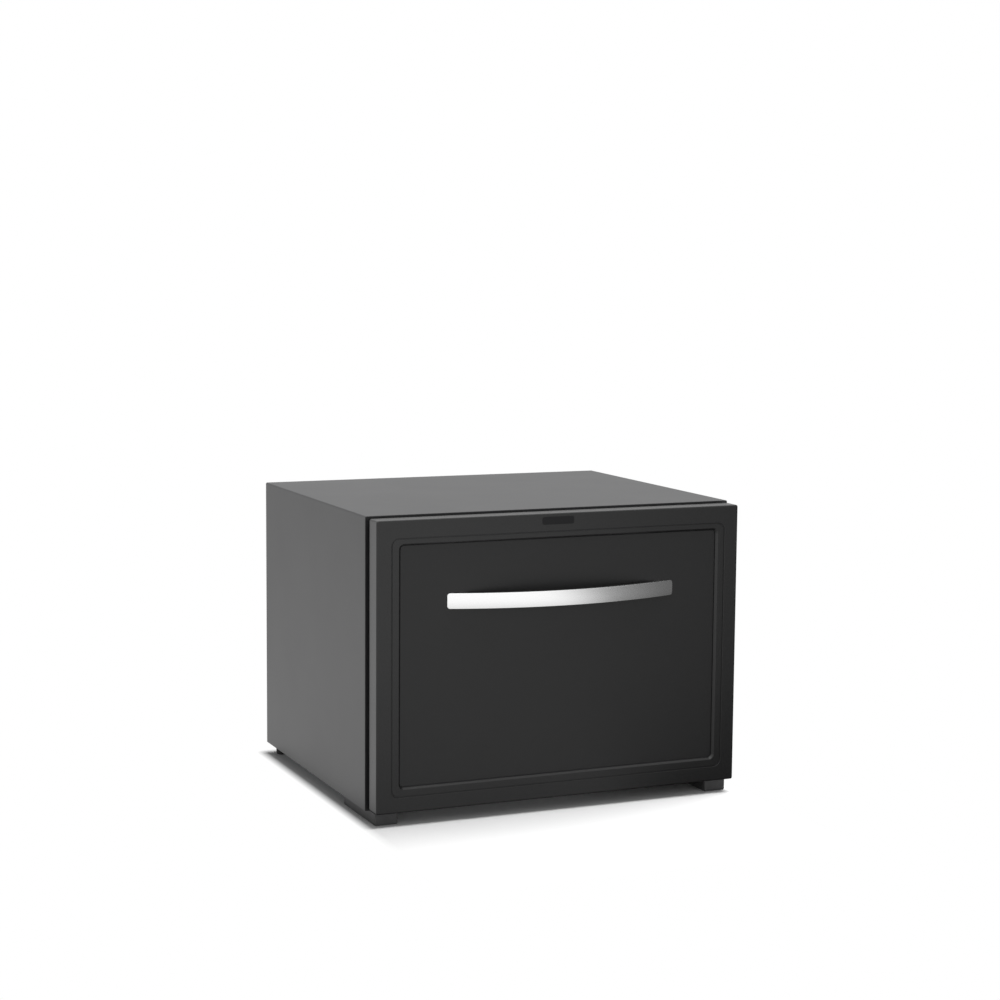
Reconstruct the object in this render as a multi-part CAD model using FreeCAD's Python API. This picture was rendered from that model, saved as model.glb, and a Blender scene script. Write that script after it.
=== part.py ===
"""Drawer minibar: an insulated cabinet with a pull-out drawer front and a rear cooling unit.

Frame: millimetres, +Z up, X to the right seen from the front, the drawer opens along -Y.
The origin lies on the floor, under the middle of the whole envelope.
"""
import FreeCAD
import Part
import math
import os

V = FreeCAD.Vector

# ---------------------------------------------------------------- driving dimensions
CABINET_WIDTH = 570.0
CABINET_DEPTH = 456.0
CABINET_HEIGHT = 415.5
FOOT_HEIGHT = 17.5
SHEET = 1.0                      # painted steel of the cabinet
SHELL_CORNER = 2.4               # outer bend radius of the wrap
FLANGE_WIDTH = 22.0              # inward front flange that the gasket seals on
HEM_WIDTH = 12.0                 # inward rear hem

SIDE_INSULATION = 38.0
TOP_INSULATION = 38.0
FLOOR_INSULATION = 38.0
BACK_INSULATION = 42.0
BAY_DEPTH = 84.0                 # open rear bay of the cooling unit
LINER_WALL = 1.6
LINER_CORNER = 12.0
BREAKER_DEPTH = 6.0              # plastic frame between shell flange and liner
BREAKER_TUCK = 7.0               # how far it reaches behind the shell flange

FRONT_THICKNESS = 28.0
FRONT_REVEAL = 3.0               # cabinet's side beyond the drawer front's
FRONT_DROP = 2.5                 # drawer front's upper edge below the cabinet's top
FRONT_RISE = 2.3                 # drawer front's lower edge above the cabinet's lower edge
FRONT_CORNER = 3.0
FRONT_EDGE_ROUND = 2.5
SEAL_GAP = 10.0                  # cabinet's front plane to the drawer front's back
FRAME_WALL = 3.0
LINE_SIDE = 22.0                 # margin of the parting groove between frame and bezel
LINE_TOP = 25.5
LINE_BOTTOM = 22.0
LINE_CORNER = 11.0
LINE_GROOVE = 1.0
PANEL_MARGIN = 36.0              # margin of the visible inner panel
PANEL_CORNER = 5.0
PANEL_RECESS = 4.6
PANEL_THICKNESS = 3.0
PANEL_TUCK = 8.0                 # inner panel's border hidden behind the bezel
PANEL_PLAY = 0.3                 # panel's edge to the seat that holds it
BEZEL_ROUND = 4.2
COVER_THICKNESS = 3.0            # inner cover of the drawer front
PLUG_DEPTH = 14.0                # insulated step of the front that enters the cabinet
PLUG_CLEARANCE = 5.0

GASKET_INSET = 3.0
GASKET_WIDTH = 16.0
GASKET_LIP = 3.2
GASKET_WAIST = 8.0
GASKET_CLEARANCE = 0.2

HANDLE_LENGTH = 353.0
HANDLE_HEIGHT = 22.0
HANDLE_DROP = 116.8              # handle's centre below the front's upper edge
HANDLE_REACH = 28.0              # beyond the drawer front's face
HANDLE_THICKNESS = 7.5
HANDLE_CROWN = 1.6
HANDLE_END_ROUND = 4.0           # corners of the strap's ends seen from the front
HANDLE_TIP = 2.0                 # thickness at the very ends
HANDLE_PAD = 24.0                # length of the solid end pads
HANDLE_SCREW_INSET = 14.88       # screw's centre from the handle's end
HANDLE_SCREW_LENGTH = 5.5

BADGE_LENGTH = 49.0
BADGE_HEIGHT = 11.0
BADGE_THICKNESS = 0.9
BADGE_X = -9.0
BADGE_DROP = 10.2                # badge's centre below the front's upper edge

LINER_FLANGE = 12.7              # liner's outward flange behind the breaker frame
FRONT_FOOT_INSET = 7.0           # foot's outer side in from the cabinet's side
FRONT_FOOT_WIDTH = 34.0
FRONT_FOOT_DEPTH = 132.0
FRONT_FOOT_NOSE = 22.0           # reach of the front feet ahead of the cabinet
FRONT_FOOT_ROUND = 2.5
REAR_FOOT_SIDE = 19.0            # rear foot's centre in from the cabinet's side
REAR_FOOT_INSET = 15.0
REAR_FOOT_RADIUS = 9.0
REAR_FOOT_TAPER = 1.5
REAR_FOOT_SIDES = 16
SCREW_SIDES = 6
SCREW_SHANK = 2.0
SCREW_HEAD = 3.8
SCREW_HEAD_HEIGHT = 1.9
FOOT_SCREW_LENGTH = 4.5          # ends flush with the top of the base pan
SCREW_POCKET = 4.5               # counterbore radius around a screw head

RUNNER_REAR_GAP = 17.4           # runner's end to the cavity's back
RUNNER_SETBACK = 10.0            # runner's front end behind the cabinet's front plane
RUNNER_HEIGHT = 35.0
RUNNER_THICKNESS = 12.0
RUNNER_SHEET = 1.2
RUNNER_PLAY = 0.3
RUNNER_WEB_GAP = 1.8             # room for the flat screw heads between two webs
RUNNER_MOUTH_GAP = 0.8           # end of a rail's flanges to the next web
RUNNER_RISE = 45.9               # runner's middle above the cavity's floor
RUNNER_SCREW_SHARES = (0.12, 0.88)

CARRIER_SHEET = 1.5
CARRIER_RISE = 11.9              # carrier floor above the cavity's floor
CARRIER_LEDGE = 18.0
CARRIER_BACK_HEIGHT = 54.0
CARRIER_FRONT_HEIGHT = 120.0
CARRIER_TAB = 24.0
CARRIER_SCREW_INSET = 14.4       # screw's centre from the arm's outer side
CARRIER_SCREW_SHARES = (0.2, 0.8)
FLOOR_SLOT_ROWS = 4
FLOOR_SLOT_EDGE = 26.0           # slots' outer ends from the carrier floor's edge
FLOOR_SLOT_MIDDLE = 34.0         # solid strip left between two slots of a row
FLOOR_SLOT_DEPTH = 32.0          # slot's size along the drawer's travel

BIN_WALL = 2.4
BIN_DROP = 92.4                  # bin's rim below the cavity's ceiling
BIN_RIM = 5.0
BIN_RIM_HEIGHT = 4.0
BIN_DRAFT = 5.0                  # inward lean of each wall from rim to floor
BIN_CORNER = 14.0
BIN_PLAY = 2.0
BIN_REAR_GAP = 28.0              # bin's rim to the cavity's back
CROSS_WALL_SETBACK = 165.0       # cross wall's distance from the bin's front
CROSS_WALL_DROP = 60.0

DIVIDER_THICKNESS = 2.4
DIVIDER_DROP = 150.0             # depth of the divider plate below the bin's rim
DIVIDER_HOOK = 12.0
DIVIDER_PLAY = 0.4
DIVIDER_WINDOW = 22.0            # margin round the divider's window
DIVIDER_WINDOW_ROUND = 8.0

EVAPORATOR_SIDE = 64.4           # free width beside the evaporator
EVAPORATOR_HEIGHT = 140.0
EVAPORATOR_BASE = 3.0
EVAPORATOR_FIN_DEPTH = 13.0
EVAPORATOR_FIN = 1.6
EVAPORATOR_FINS = 19
EVAPORATOR_DROP = 80.4           # evaporator's middle below the cavity's ceiling
GUTTER_REACH = 6.0               # beyond the evaporator at each end
GUTTER_AHEAD = 3.0               # in front of the fins
GUTTER_DROP = 22.0
GUTTER_BACK = 18.0
GUTTER_LIP = 12.0

CONTROL_LENGTH = 150.0
CONTROL_DEPTH = 70.0
CONTROL_HEIGHT = 26.0
CONTROL_SETBACK = 26.0
CONTROL_SIDE = 124.4             # housing's middle from the cavity's right wall
CONTROL_ROUND = 5.0
LAMP_INSET = 12.0                # lens from the housing's left end
LAMP_LENGTH = 70.0
LAMP_DEPTH = 34.0
LAMP_THICKNESS = 3.0
KNOB_RADIUS = 10.0
KNOB_INSET = 8.0                 # grip from the housing's right end
KNOB_LENGTH = 11.0
KNOB_SHAFT_RADIUS = 3.0
KNOB_SIDES = 20
KNOB_CHAMFER = 1.0
KNOB_PLAY = 0.06                 # around the shaft in its bore
KNOB_GAP = 0.3                   # grip to the housing's face
POINTER_WIDTH = 1.8
POINTER_RISE = 1.4

TUBE_SIDES = 8                   # facets round each tube of the cooling unit
TUBE_BEND = 1.25                 # bend radius as a multiple of the tube's diameter
BEND_STEP = 22.5                 # degrees turned by each straight step of a bend
CONDENSER_TUBE = 16.0
CONDENSER_DROP = 45.0            # tube's upper end below the cabinet's top
CONDENSER_FALL = 8.0
FIN_COUNT = 10
FIN_PITCH = 29.0
FIN_WIDTH = 60.0
FIN_HEIGHT = 54.0
FIN_SHEET = 0.8
JACKET_SIDE = 86.0               # boiler's axis from the cabinet's inner side
JACKET_WIDTH = 76.0
JACKET_DEPTH = 72.0
JACKET_RISE = 112.5              # above the cabinet's lower edge
JACKET_DROP = 43.0               # below the condenser tube
JACKET_ROUND = 14.0
BOILER_TUBE = 22.0
BOILER_STUB = 11.0               # boiler tube showing above and below the jacket
PLUG_SIDE = 127.0                # evaporator plug's middle from the cabinet's inner side
PLUG_WIDTH = 110.0
PLUG_HEIGHT = 110.0
PLUG_FLANGE = 8.0
RETURN_ASIDE = 28.0              # condenser's down tube outwards from the plug's middle
RETURN_ABOVE = 13.0              # its inlet above the evaporator's middle
GAS_TUBE = 22.0
GAS_ASIDE = 27.0                 # gas tube inwards from the plug's middle
GAS_BELOW = 27.0                 # its inlet below the evaporator's middle
VESSEL_RADIUS = 30.0
VESSEL_SIDES = 20
VESSEL_LENGTH = 190.0
VESSEL_ASIDE = 22.0              # vessel's middle inwards from the plug's middle
VESSEL_RISE = 54.5               # vessel's axis above the cabinet's lower edge
COIL_TUBE = 14.0
COIL_PASSES = 4                  # an even number, so the last pass ends at the gas tube
COIL_RISE = 34.0
COIL_FROM_VESSEL = 55.0          # passes' left end from the vessel's middle
COIL_FROM_JACKET = 93.0          # passes' right end from the boiler's axis
COIL_ABOVE = 74.0                # first pass above the vessel's axis
COIL_BEND = 19.6
COIL_SPREAD = 42.0
LIQUID_TUBE = 16.0
LIQUID_RISE = 28.5               # above the cabinet's lower edge
BRACKET_REACH = 14.0             # strap beyond the jacket at each side
BRACKET_HEIGHT = 16.0
BRACKET_SPACER = 40.0
BRACKET_INSET = 30.0             # straps from the jacket's ends
CRADLE_THICKNESS = 10.0
CRADLE_REACH = 8.0               # saddle beyond the vessel and below its axis
CRADLE_SHARES = (0.3, 0.72)

BOX_ASIDE = 106.0                # electronics box's middle from the boiler's axis
BOX_WIDTH = 120.0
BOX_HEIGHT = 50.0
BOX_DEPTH = 32.0
BOX_RISE = 74.5                  # box's middle above the cabinet's lower edge
BOX_WALL = 2.0
SLOT_COUNT = 6
SLOT_WIDTH = 3.0
SLOT_PITCH = 8.0
SLOT_INSET = 14.0
SLOT_HEIGHT = 24.0
GLAND_RADIUS = 8.0
GLAND_NUT = 10.5
GLAND_BORE = 3.7
GLAND_LENGTH = 14.0
GLAND_SIDES = 12

# ---------------------------------------------------------------- derived places
OVERALL_DEPTH = HANDLE_REACH + FRONT_THICKNESS + SEAL_GAP + CABINET_DEPTH
Y_REAR = OVERALL_DEPTH / 2
Y_CABINET = Y_REAR - CABINET_DEPTH
Y_FRONT_BACK = Y_CABINET - SEAL_GAP
Y_FACE = Y_FRONT_BACK - FRONT_THICKNESS
Y_PANEL = Y_FACE + PANEL_RECESS
Y_SEAT = Y_PANEL + PANEL_THICKNESS
Y_PLUG = Y_FRONT_BACK + PLUG_DEPTH
Y_BACK_PLATE = Y_REAR - BAY_DEPTH
Z_BOTTOM = FOOT_HEIGHT
Z_TOP = FOOT_HEIGHT + CABINET_HEIGHT
HALF = CABINET_WIDTH / 2
INNER_HALF = HALF - SHEET

LINER_HALF = INNER_HALF - SIDE_INSULATION
LINER_LOW = Z_BOTTOM + SHEET + FLOOR_INSULATION
LINER_HIGH = Z_TOP - SHEET - TOP_INSULATION
LINER_BACK = Y_BACK_PLATE - SHEET - BACK_INSULATION
CAVITY_HALF = LINER_HALF - LINER_WALL
CAVITY_LOW = LINER_LOW + LINER_WALL
CAVITY_HIGH = LINER_HIGH - LINER_WALL
CAVITY_BACK = LINER_BACK - LINER_WALL

FRONT_HALF = HALF - FRONT_REVEAL
FRONT_LOW = Z_BOTTOM + FRONT_RISE
FRONT_HIGH = Z_TOP - FRONT_DROP
Y_COVER = Y_FRONT_BACK - COVER_THICKNESS
HANDLE_CENTRE_Z = FRONT_HIGH - HANDLE_DROP
FRONT_FOOT_OUTER = HALF - FRONT_FOOT_INSET
REAR_FOOT_X = HALF - REAR_FOOT_SIDE

RUNNER_FRONT = Y_CABINET + RUNNER_SETBACK
RUNNER_BACK = CAVITY_BACK - RUNNER_REAR_GAP
RUNNER_CENTRE_Z = CAVITY_LOW + RUNNER_RISE
RUNNER_SCREW_LENGTH = RUNNER_SHEET + LINER_WALL
CARRIER_SCREW_LENGTH = CARRIER_SHEET + COVER_THICKNESS
CARRIER_HALF = CAVITY_HALF - RUNNER_THICKNESS
CARRIER_FLOOR_Z = CAVITY_LOW + CARRIER_RISE
BIN_HALF = CARRIER_HALF - CARRIER_SHEET - BIN_PLAY
BIN_FRONT = Y_PLUG + CARRIER_SHEET + SCREW_HEAD_HEIGHT + BIN_PLAY
BIN_BACK = CAVITY_BACK - BIN_REAR_GAP
BIN_LOW = CARRIER_FLOOR_Z + CARRIER_SHEET
BIN_TOP_Z = CAVITY_HIGH - BIN_DROP
CROSS_WALL_Y = BIN_FRONT + CROSS_WALL_SETBACK

EVAPORATOR_HALF = CAVITY_HALF - EVAPORATOR_SIDE
EVAPORATOR_CENTRE_Z = CAVITY_HIGH - EVAPORATOR_DROP
CONTROL_CENTRE_X = CAVITY_HALF - CONTROL_SIDE
CONTROL_FRONT = Y_CABINET + CONTROL_SETBACK

BAY_Y = (Y_BACK_PLATE + Y_REAR) / 2
PLUG_X = PLUG_SIDE - INNER_HALF
RETURN_X = PLUG_X - RETURN_ASIDE
RETURN_Z = EVAPORATOR_CENTRE_Z + RETURN_ABOVE
GAS_X = PLUG_X + GAS_ASIDE
GAS_Z = EVAPORATOR_CENTRE_Z - GAS_BELOW
CONDENSER_Z = Z_TOP - CONDENSER_DROP
JACKET_X = INNER_HALF - JACKET_SIDE
JACKET_BOTTOM = Z_BOTTOM + JACKET_RISE
JACKET_TOP = CONDENSER_Z - JACKET_DROP
VESSEL_X = PLUG_X + VESSEL_ASIDE
VESSEL_Z = Z_BOTTOM + VESSEL_RISE
COIL_LEFT = VESSEL_X + COIL_FROM_VESSEL
COIL_RIGHT = JACKET_X - COIL_FROM_JACKET
COIL_FIRST_Z = VESSEL_Z + COIL_ABOVE
LIQUID_Z = Z_BOTTOM + LIQUID_RISE
BOX_X = JACKET_X - BOX_ASIDE
BOX_Z = Z_BOTTOM + BOX_RISE


# ---------------------------------------------------------------- helpers
def box(x0, x1, y0, y1, z0, z1):
    """A block between two corners."""
    return Part.makeBox(x1 - x0, y1 - y0, z1 - z0, V(x0, y0, z0))


def cylinder(radius, start, direction, length):
    """A round bar from a start point along a direction."""
    return Part.makeCylinder(radius, length, start, direction)


def section(radius, centre, direction, sides):
    """A regular polygon face square to a direction."""
    ring = Part.makeCircle(radius, centre, direction).discretize(sides + 1)
    return Part.Face(Part.makePolygon(ring))


def bar(radius, start, direction, length, sides):
    """A straight bar of regular polygon section."""
    return section(radius, start, direction, sides).extrude(direction * length)


def fused(shapes):
    """One body from touching or overlapping pieces, without the seams between flush faces."""
    return shapes[0].multiFuse(shapes[1:]).removeSplitter()


def rounded_outline(x0, x1, z0, z1, radius):
    """A rectangle in the XZ plane at y = 0 with round corners."""
    if radius <= 0:
        return Part.makePolygon([V(x0, 0, z0), V(x1, 0, z0), V(x1, 0, z1), V(x0, 0, z1), V(x0, 0, z0)])
    edges = []
    corners = [(x1 - radius, z0 + radius, -90), (x1 - radius, z1 - radius, 0),
               (x0 + radius, z1 - radius, 90), (x0 + radius, z0 + radius, 180)]
    arcs = []
    for cx, cz, start in corners:
        points = []
        for turn in (0, 45, 90):
            angle = math.radians(start + turn)
            points.append(V(cx + radius * math.cos(angle), 0, cz + radius * math.sin(angle)))
        arcs.append(points)
    for index, points in enumerate(arcs):
        edges.append(Part.Arc(*points).toShape())
        edges.append(Part.LineSegment(points[2], arcs[(index + 1) % 4][0]).toShape())
    return Part.Wire(edges)


def slab(x0, x1, z0, z1, radius, y0, y1):
    """A plate facing Y with round corners."""
    face = Part.Face(rounded_outline(x0, x1, z0, z1, radius))
    face.translate(V(0, y0, 0))
    return face.extrude(V(0, y1 - y0, 0))


def frame(outer, outer_radius, inner, inner_radius, y0, y1):
    """A picture frame facing Y; outer and inner are (x0, x1, z0, z1)."""
    body = slab(*outer, outer_radius, y0, y1)
    return body.cut(slab(*inner, inner_radius, y0, y1))


def inset(area, amount):
    """An (x0, x1, z0, z1) area made smaller on every side."""
    return (area[0] + amount, area[1] - amount, area[2] + amount, area[3] - amount)


def extruded(points, direction):
    """A prism from a closed polygon of points."""
    return Part.Face(Part.makePolygon(points + [points[0]])).extrude(direction)


def mirrored(shape):
    """The same piece on the other side of the middle plane."""
    return shape.mirror(V(0, 0, 0), V(1, 0, 0))


def edges_where(shape, test):
    """The edges whose bounding box passes a test."""
    return [edge for edge in shape.Edges if test(edge.BoundBox)]


def tube(points, bend, diameter):
    """A tube along straight runs joined by tangent bends of one radius."""
    start = points[0]
    face = section(diameter / 2, start, (points[1] - start).normalize(), TUBE_SIDES)
    pieces = []
    for before, corner, after in zip(points, points[1:], points[2:]):
        inward = (corner - before).normalize()
        outward = (after - corner).normalize()
        turn = inward.getAngle(outward)
        entry = corner - inward * bend * math.tan(turn / 2)
        pieces.append(face.extrude(entry - start))
        face = face.translated(entry - start)
        axis = inward.cross(outward).normalize()
        start = corner + outward * bend * math.tan(turn / 2)
        face = turned(face, entry + axis.cross(inward) * bend, axis, math.degrees(turn), pieces)
    pieces.append(face.extrude(points[-1] - start))
    return fused(pieces)


def turned(face, centre, axis, degrees, pieces):
    """Adds a bend about an axis in short straight steps, and returns the section at its end."""
    steps = max(1, round(degrees / BEND_STEP))
    for _ in range(steps):
        following = face.rotated(centre, axis, degrees / steps)
        pieces.append(Part.makeLoft([face.OuterWire, following.OuterWire], True, True))
        face = following
    return face


def screw(head_at, direction, length, head_height=SCREW_HEAD_HEIGHT):
    """A hex head screw; the head stands outside head_at, the shank goes in along direction."""
    head = bar(SCREW_HEAD, head_at - direction * head_height, direction, head_height, SCREW_SIDES)
    return fused([head, bar(SCREW_SHANK, head_at, direction, length, SCREW_SIDES)])


def screw_holes(shape, places, direction, length):
    """A shape with a shank hole at each place of a screw."""
    for place in places:
        shape = shape.cut(bar(SCREW_SHANK, place, direction, length, SCREW_SIDES))
    return shape


# ---------------------------------------------------------------- cabinet
def outer_shell():
    """Steel wrap over top and sides, with an inward front flange and a rear hem."""
    profile_outer = rounded_outline(-HALF, HALF, Z_BOTTOM - SHELL_CORNER * 2, Z_TOP, SHELL_CORNER)
    inner_radius = SHELL_CORNER - SHEET
    profile_inner = rounded_outline(-INNER_HALF, INNER_HALF, Z_BOTTOM - SHELL_CORNER * 2,
                                    Z_TOP - SHEET, inner_radius)
    length = V(0, CABINET_DEPTH, 0)
    wrap = Part.Face(profile_outer).extrude(length).cut(Part.Face(profile_inner).extrude(length))
    wrap.translate(V(0, Y_CABINET, 0))
    below = box(-HALF * 2, HALF * 2, Y_CABINET - SHEET, Y_REAR + SHEET, -HALF, Z_BOTTOM)
    wrap = wrap.cut(below)
    inside = box(-INNER_HALF, INNER_HALF, Y_CABINET, Y_REAR, Z_BOTTOM, Z_TOP - SHEET)
    flange = inside.common(box(-HALF, HALF, Y_CABINET, Y_CABINET + SHEET, Z_BOTTOM, Z_TOP))
    flange = flange.cut(box(-HALF + FLANGE_WIDTH, HALF - FLANGE_WIDTH, Y_CABINET, Y_CABINET + SHEET,
                            0, Z_TOP - FLANGE_WIDTH))
    hem = inside.common(box(-HALF, HALF, Y_REAR - SHEET, Y_REAR, Z_BOTTOM + SHEET + HEM_WIDTH, Z_TOP))
    hem = hem.cut(box(-HALF + HEM_WIDTH, HALF - HEM_WIDTH, Y_REAR - SHEET, Y_REAR,
                      0, Z_TOP - HEM_WIDTH))
    shell = fused([wrap, flange, hem])
    rim = edges_where(shell, lambda b: b.YMax < Y_CABINET + 1e-3 and (
        b.XMax < -HALF + 1e-3 or b.XMin > HALF - 1e-3 or b.ZMin > Z_TOP - 1e-3))
    return shell.makeFillet(SHEET * 0.8, rim)


def base_pan():
    """Steel pan under the insulation with turned-up front, rear and side edges."""
    floor = box(-INNER_HALF, INNER_HALF, Y_CABINET, Y_REAR, Z_BOTTOM, Z_BOTTOM + SHEET)
    top = Z_BOTTOM + FLANGE_WIDTH
    inner = HALF - FLANGE_WIDTH
    front = box(-inner, inner, Y_CABINET, Y_CABINET + SHEET, Z_BOTTOM, top)
    rear = box(-INNER_HALF, INNER_HALF, Y_REAR - SHEET, Y_REAR, Z_BOTTOM, Z_BOTTOM + HEM_WIDTH)
    left = box(-INNER_HALF, -INNER_HALF + SHEET, Y_CABINET + SHEET, Y_REAR, Z_BOTTOM,
               Z_BOTTOM + HEM_WIDTH)
    floor = floor.cut(box(-HALF, -inner, Y_CABINET, Y_CABINET + SHEET, 0, top))
    floor = floor.cut(box(inner, HALF, Y_CABINET, Y_CABINET + SHEET, 0, top))
    pan = fused([floor, front, rear, left, mirrored(left)])
    pan = screw_holes(pan, front_foot_screw_places(), V(0, 0, 1), FOOT_SCREW_LENGTH)
    for side in (-1, 1):
        pan = pan.cut(bar(SCREW_SHANK, rear_foot_place(side), V(0, 0, 1), FOOT_HEIGHT + SHEET * 2, TUBE_SIDES))
    return pan


def back_plate():
    """Steel plate behind the foam, with the window of the evaporator plug."""
    plate = box(-INNER_HALF, INNER_HALF, Y_BACK_PLATE - SHEET, Y_BACK_PLATE,
                Z_BOTTOM + SHEET, Z_TOP - SHEET)
    plate = plate.common(box(-INNER_HALF + SHEET, INNER_HALF - SHEET, Y_CABINET, Y_REAR, 0, Z_TOP))
    window = slab(*plug_area(0), 0, Y_BACK_PLATE - SHEET, Y_BACK_PLATE)
    return plate.cut(window)


def liner_block(grow):
    """The cavity's rounded block from the cabinet's front plane, grown outwards by a wall."""
    radius = LINER_CORNER + grow
    half = CAVITY_HALF + grow
    return slab(-half, half, CAVITY_LOW - grow, CAVITY_HIGH + grow, radius, Y_CABINET, CAVITY_BACK + grow)


def inner_liner():
    """Thin plastic box of the cold space, with a flange behind the breaker frame."""
    shell = liner_block(LINER_WALL).cut(liner_block(0))
    front = Y_CABINET + BREAKER_DEPTH
    shell = shell.cut(box(-HALF, HALF, Y_CABINET - SHEET, front, 0, Z_TOP))
    area = (-LINER_HALF, LINER_HALF, LINER_LOW, LINER_HIGH)
    cavity = (-CAVITY_HALF, CAVITY_HALF, CAVITY_LOW, CAVITY_HIGH)
    flange = frame(inset(area, -LINER_FLANGE), LINER_CORNER, cavity, LINER_CORNER,
                   front, front + LINER_WALL)
    liner = fused([shell, flange])
    for _ in (-1, 1):
        liner = mirrored(screw_holes(liner, runner_screw_places(), V(-1, 0, 0), RUNNER_SCREW_LENGTH))
    return liner.cut(condenser_tube()).cut(gas_route())


def breaker_frame():
    """Plastic frame that separates the steel flange from the liner at the mouth."""
    flange_inner = (-HALF + FLANGE_WIDTH, HALF - FLANGE_WIDTH, Z_BOTTOM + FLANGE_WIDTH,
                    Z_TOP - FLANGE_WIDTH)
    cavity = (-CAVITY_HALF, CAVITY_HALF, CAVITY_LOW, CAVITY_HIGH)
    face = frame(flange_inner, 0, cavity, LINER_CORNER, Y_CABINET, Y_CABINET + BREAKER_DEPTH)
    tuck = frame(inset(flange_inner, -BREAKER_TUCK), 0, cavity, LINER_CORNER,
                 Y_CABINET + SHEET, Y_CABINET + BREAKER_DEPTH)
    return fused([face, tuck])


def insulation():
    """Foam between shell and liner."""
    block = box(-INNER_HALF + SHEET, INNER_HALF - SHEET, Y_CABINET + BREAKER_DEPTH,
                Y_BACK_PLATE - SHEET, Z_BOTTOM + SHEET, Z_TOP - SHEET * 2)
    area = (-LINER_HALF, LINER_HALF, LINER_LOW, LINER_HIGH)
    lip = slab(*inset(area, -LINER_FLANGE), LINER_CORNER, Y_CABINET,
               Y_CABINET + BREAKER_DEPTH + LINER_WALL)
    plug = slab(*plug_area(0), 0, LINER_BACK, Y_BACK_PLATE)
    return block.cut(liner_block(LINER_WALL)).cut(lip).cut(plug)


# ---------------------------------------------------------------- feet
def front_foot_screw_places():
    """Where the screw in each front foot bears, in the foot's counterbore."""
    centre = FRONT_FOOT_OUTER - FRONT_FOOT_WIDTH / 2
    y = Y_CABINET + (FRONT_FOOT_DEPTH - FRONT_FOOT_NOSE) / 2
    return [V(side * centre, y, Z_BOTTOM + SHEET - FOOT_SCREW_LENGTH) for side in (-1, 1)]


def front_foot(side):
    """Long block foot with round upright edges and a counterbore for its screw."""
    x0 = FRONT_FOOT_OUTER - FRONT_FOOT_WIDTH
    y0 = Y_CABINET - FRONT_FOOT_NOSE
    foot = box(x0, FRONT_FOOT_OUTER, y0, y0 + FRONT_FOOT_DEPTH, 0, FOOT_HEIGHT)
    upright = edges_where(foot, lambda b: b.ZLength > FOOT_HEIGHT - 1e-3)
    foot = foot.makeFillet(FRONT_FOOT_ROUND, upright)
    if side < 0:
        foot = mirrored(foot)
    for place in front_foot_screw_places():
        foot = foot.cut(bar(SCREW_POCKET, V(place.x, place.y, 0), V(0, 0, 1), place.z, TUBE_SIDES))
    return screw_holes(foot, front_foot_screw_places(), V(0, 0, 1), FOOT_SCREW_LENGTH)


def rear_foot_place(side):
    """Floor point under a rear foot."""
    return V(side * REAR_FOOT_X, Y_REAR - REAR_FOOT_INSET, 0)


def rear_feet():
    """Two small tapered rubber feet with push-in stems through the base pan."""
    up = V(0, 0, 1)
    rings = [section(REAR_FOOT_RADIUS - REAR_FOOT_TAPER, V(0, 0, 0), up, REAR_FOOT_SIDES).OuterWire,
             section(REAR_FOOT_RADIUS, V(0, 0, FOOT_HEIGHT), up, REAR_FOOT_SIDES).OuterWire]
    cone = Part.makeLoft(rings, True, True)
    stem = bar(SCREW_SHANK, V(0, 0, FOOT_HEIGHT), up, SHEET * 2, TUBE_SIDES)
    foot = fused([cone, stem])
    return Part.makeCompound([foot.translated(rear_foot_place(side)) for side in (-1, 1)])


def foot_screws():
    """Screws that hold the front feet to the base pan."""
    return Part.makeCompound([screw(place, V(0, 0, 1), FOOT_SCREW_LENGTH)
                              for place in front_foot_screw_places()])


# ---------------------------------------------------------------- runners
def channel(back, mouth, half_height, y0, y1):
    """A C-shaped rail: web at back, flanges reaching to mouth, both measured along X."""
    sign = 1 if mouth > back else -1
    web = back + sign * RUNNER_SHEET
    top = RUNNER_CENTRE_Z + half_height
    low = RUNNER_CENTRE_Z - half_height
    points = [V(back, y0, low), V(mouth, y0, low), V(mouth, y0, low + RUNNER_SHEET),
              V(web, y0, low + RUNNER_SHEET), V(web, y0, top - RUNNER_SHEET),
              V(mouth, y0, top - RUNNER_SHEET), V(mouth, y0, top), V(back, y0, top)]
    rail = extruded(points, V(0, y1 - y0, 0))
    outer = edges_where(rail, lambda b: b.YLength > (y1 - y0) / 2 and abs(b.XMin - back) < 1e-3)
    return rail.makeFillet(RUNNER_SHEET * 0.9, outer)


def outer_runner():
    """Fixed rail on the left wall, with its screw holes."""
    back = -CAVITY_HALF
    mouth = -CARRIER_HALF - RUNNER_SHEET - RUNNER_MOUTH_GAP
    rail = channel(back, mouth, RUNNER_HEIGHT / 2, RUNNER_FRONT, RUNNER_BACK)
    return screw_holes(rail, runner_screw_places(), V(-1, 0, 0), RUNNER_SCREW_LENGTH)


def middle_runner():
    """Moving middle rail that nests inside the fixed rail."""
    back = -CAVITY_HALF + RUNNER_SHEET + RUNNER_WEB_GAP
    mouth = -CARRIER_HALF - RUNNER_SHEET - RUNNER_MOUTH_GAP
    half = RUNNER_HEIGHT / 2 - RUNNER_SHEET - RUNNER_PLAY
    return channel(back, mouth, half, RUNNER_FRONT, RUNNER_BACK)


def inner_runner():
    """Rail on the drawer carrier that nests inside the middle rail."""
    back = -CARRIER_HALF
    mouth = -CAVITY_HALF + 2 * RUNNER_SHEET + RUNNER_WEB_GAP + RUNNER_MOUTH_GAP
    half = RUNNER_HEIGHT / 2 - 2 * (RUNNER_SHEET + RUNNER_PLAY)
    return channel(back, mouth, half, RUNNER_FRONT, RUNNER_BACK)


def runner_screw_places():
    """Where the left runner's screws bear on the inside of the fixed rail's web."""
    x = RUNNER_SHEET - CAVITY_HALF
    length = RUNNER_BACK - RUNNER_FRONT
    return [V(x, RUNNER_FRONT + length * share, RUNNER_CENTRE_Z) for share in RUNNER_SCREW_SHARES]


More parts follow.
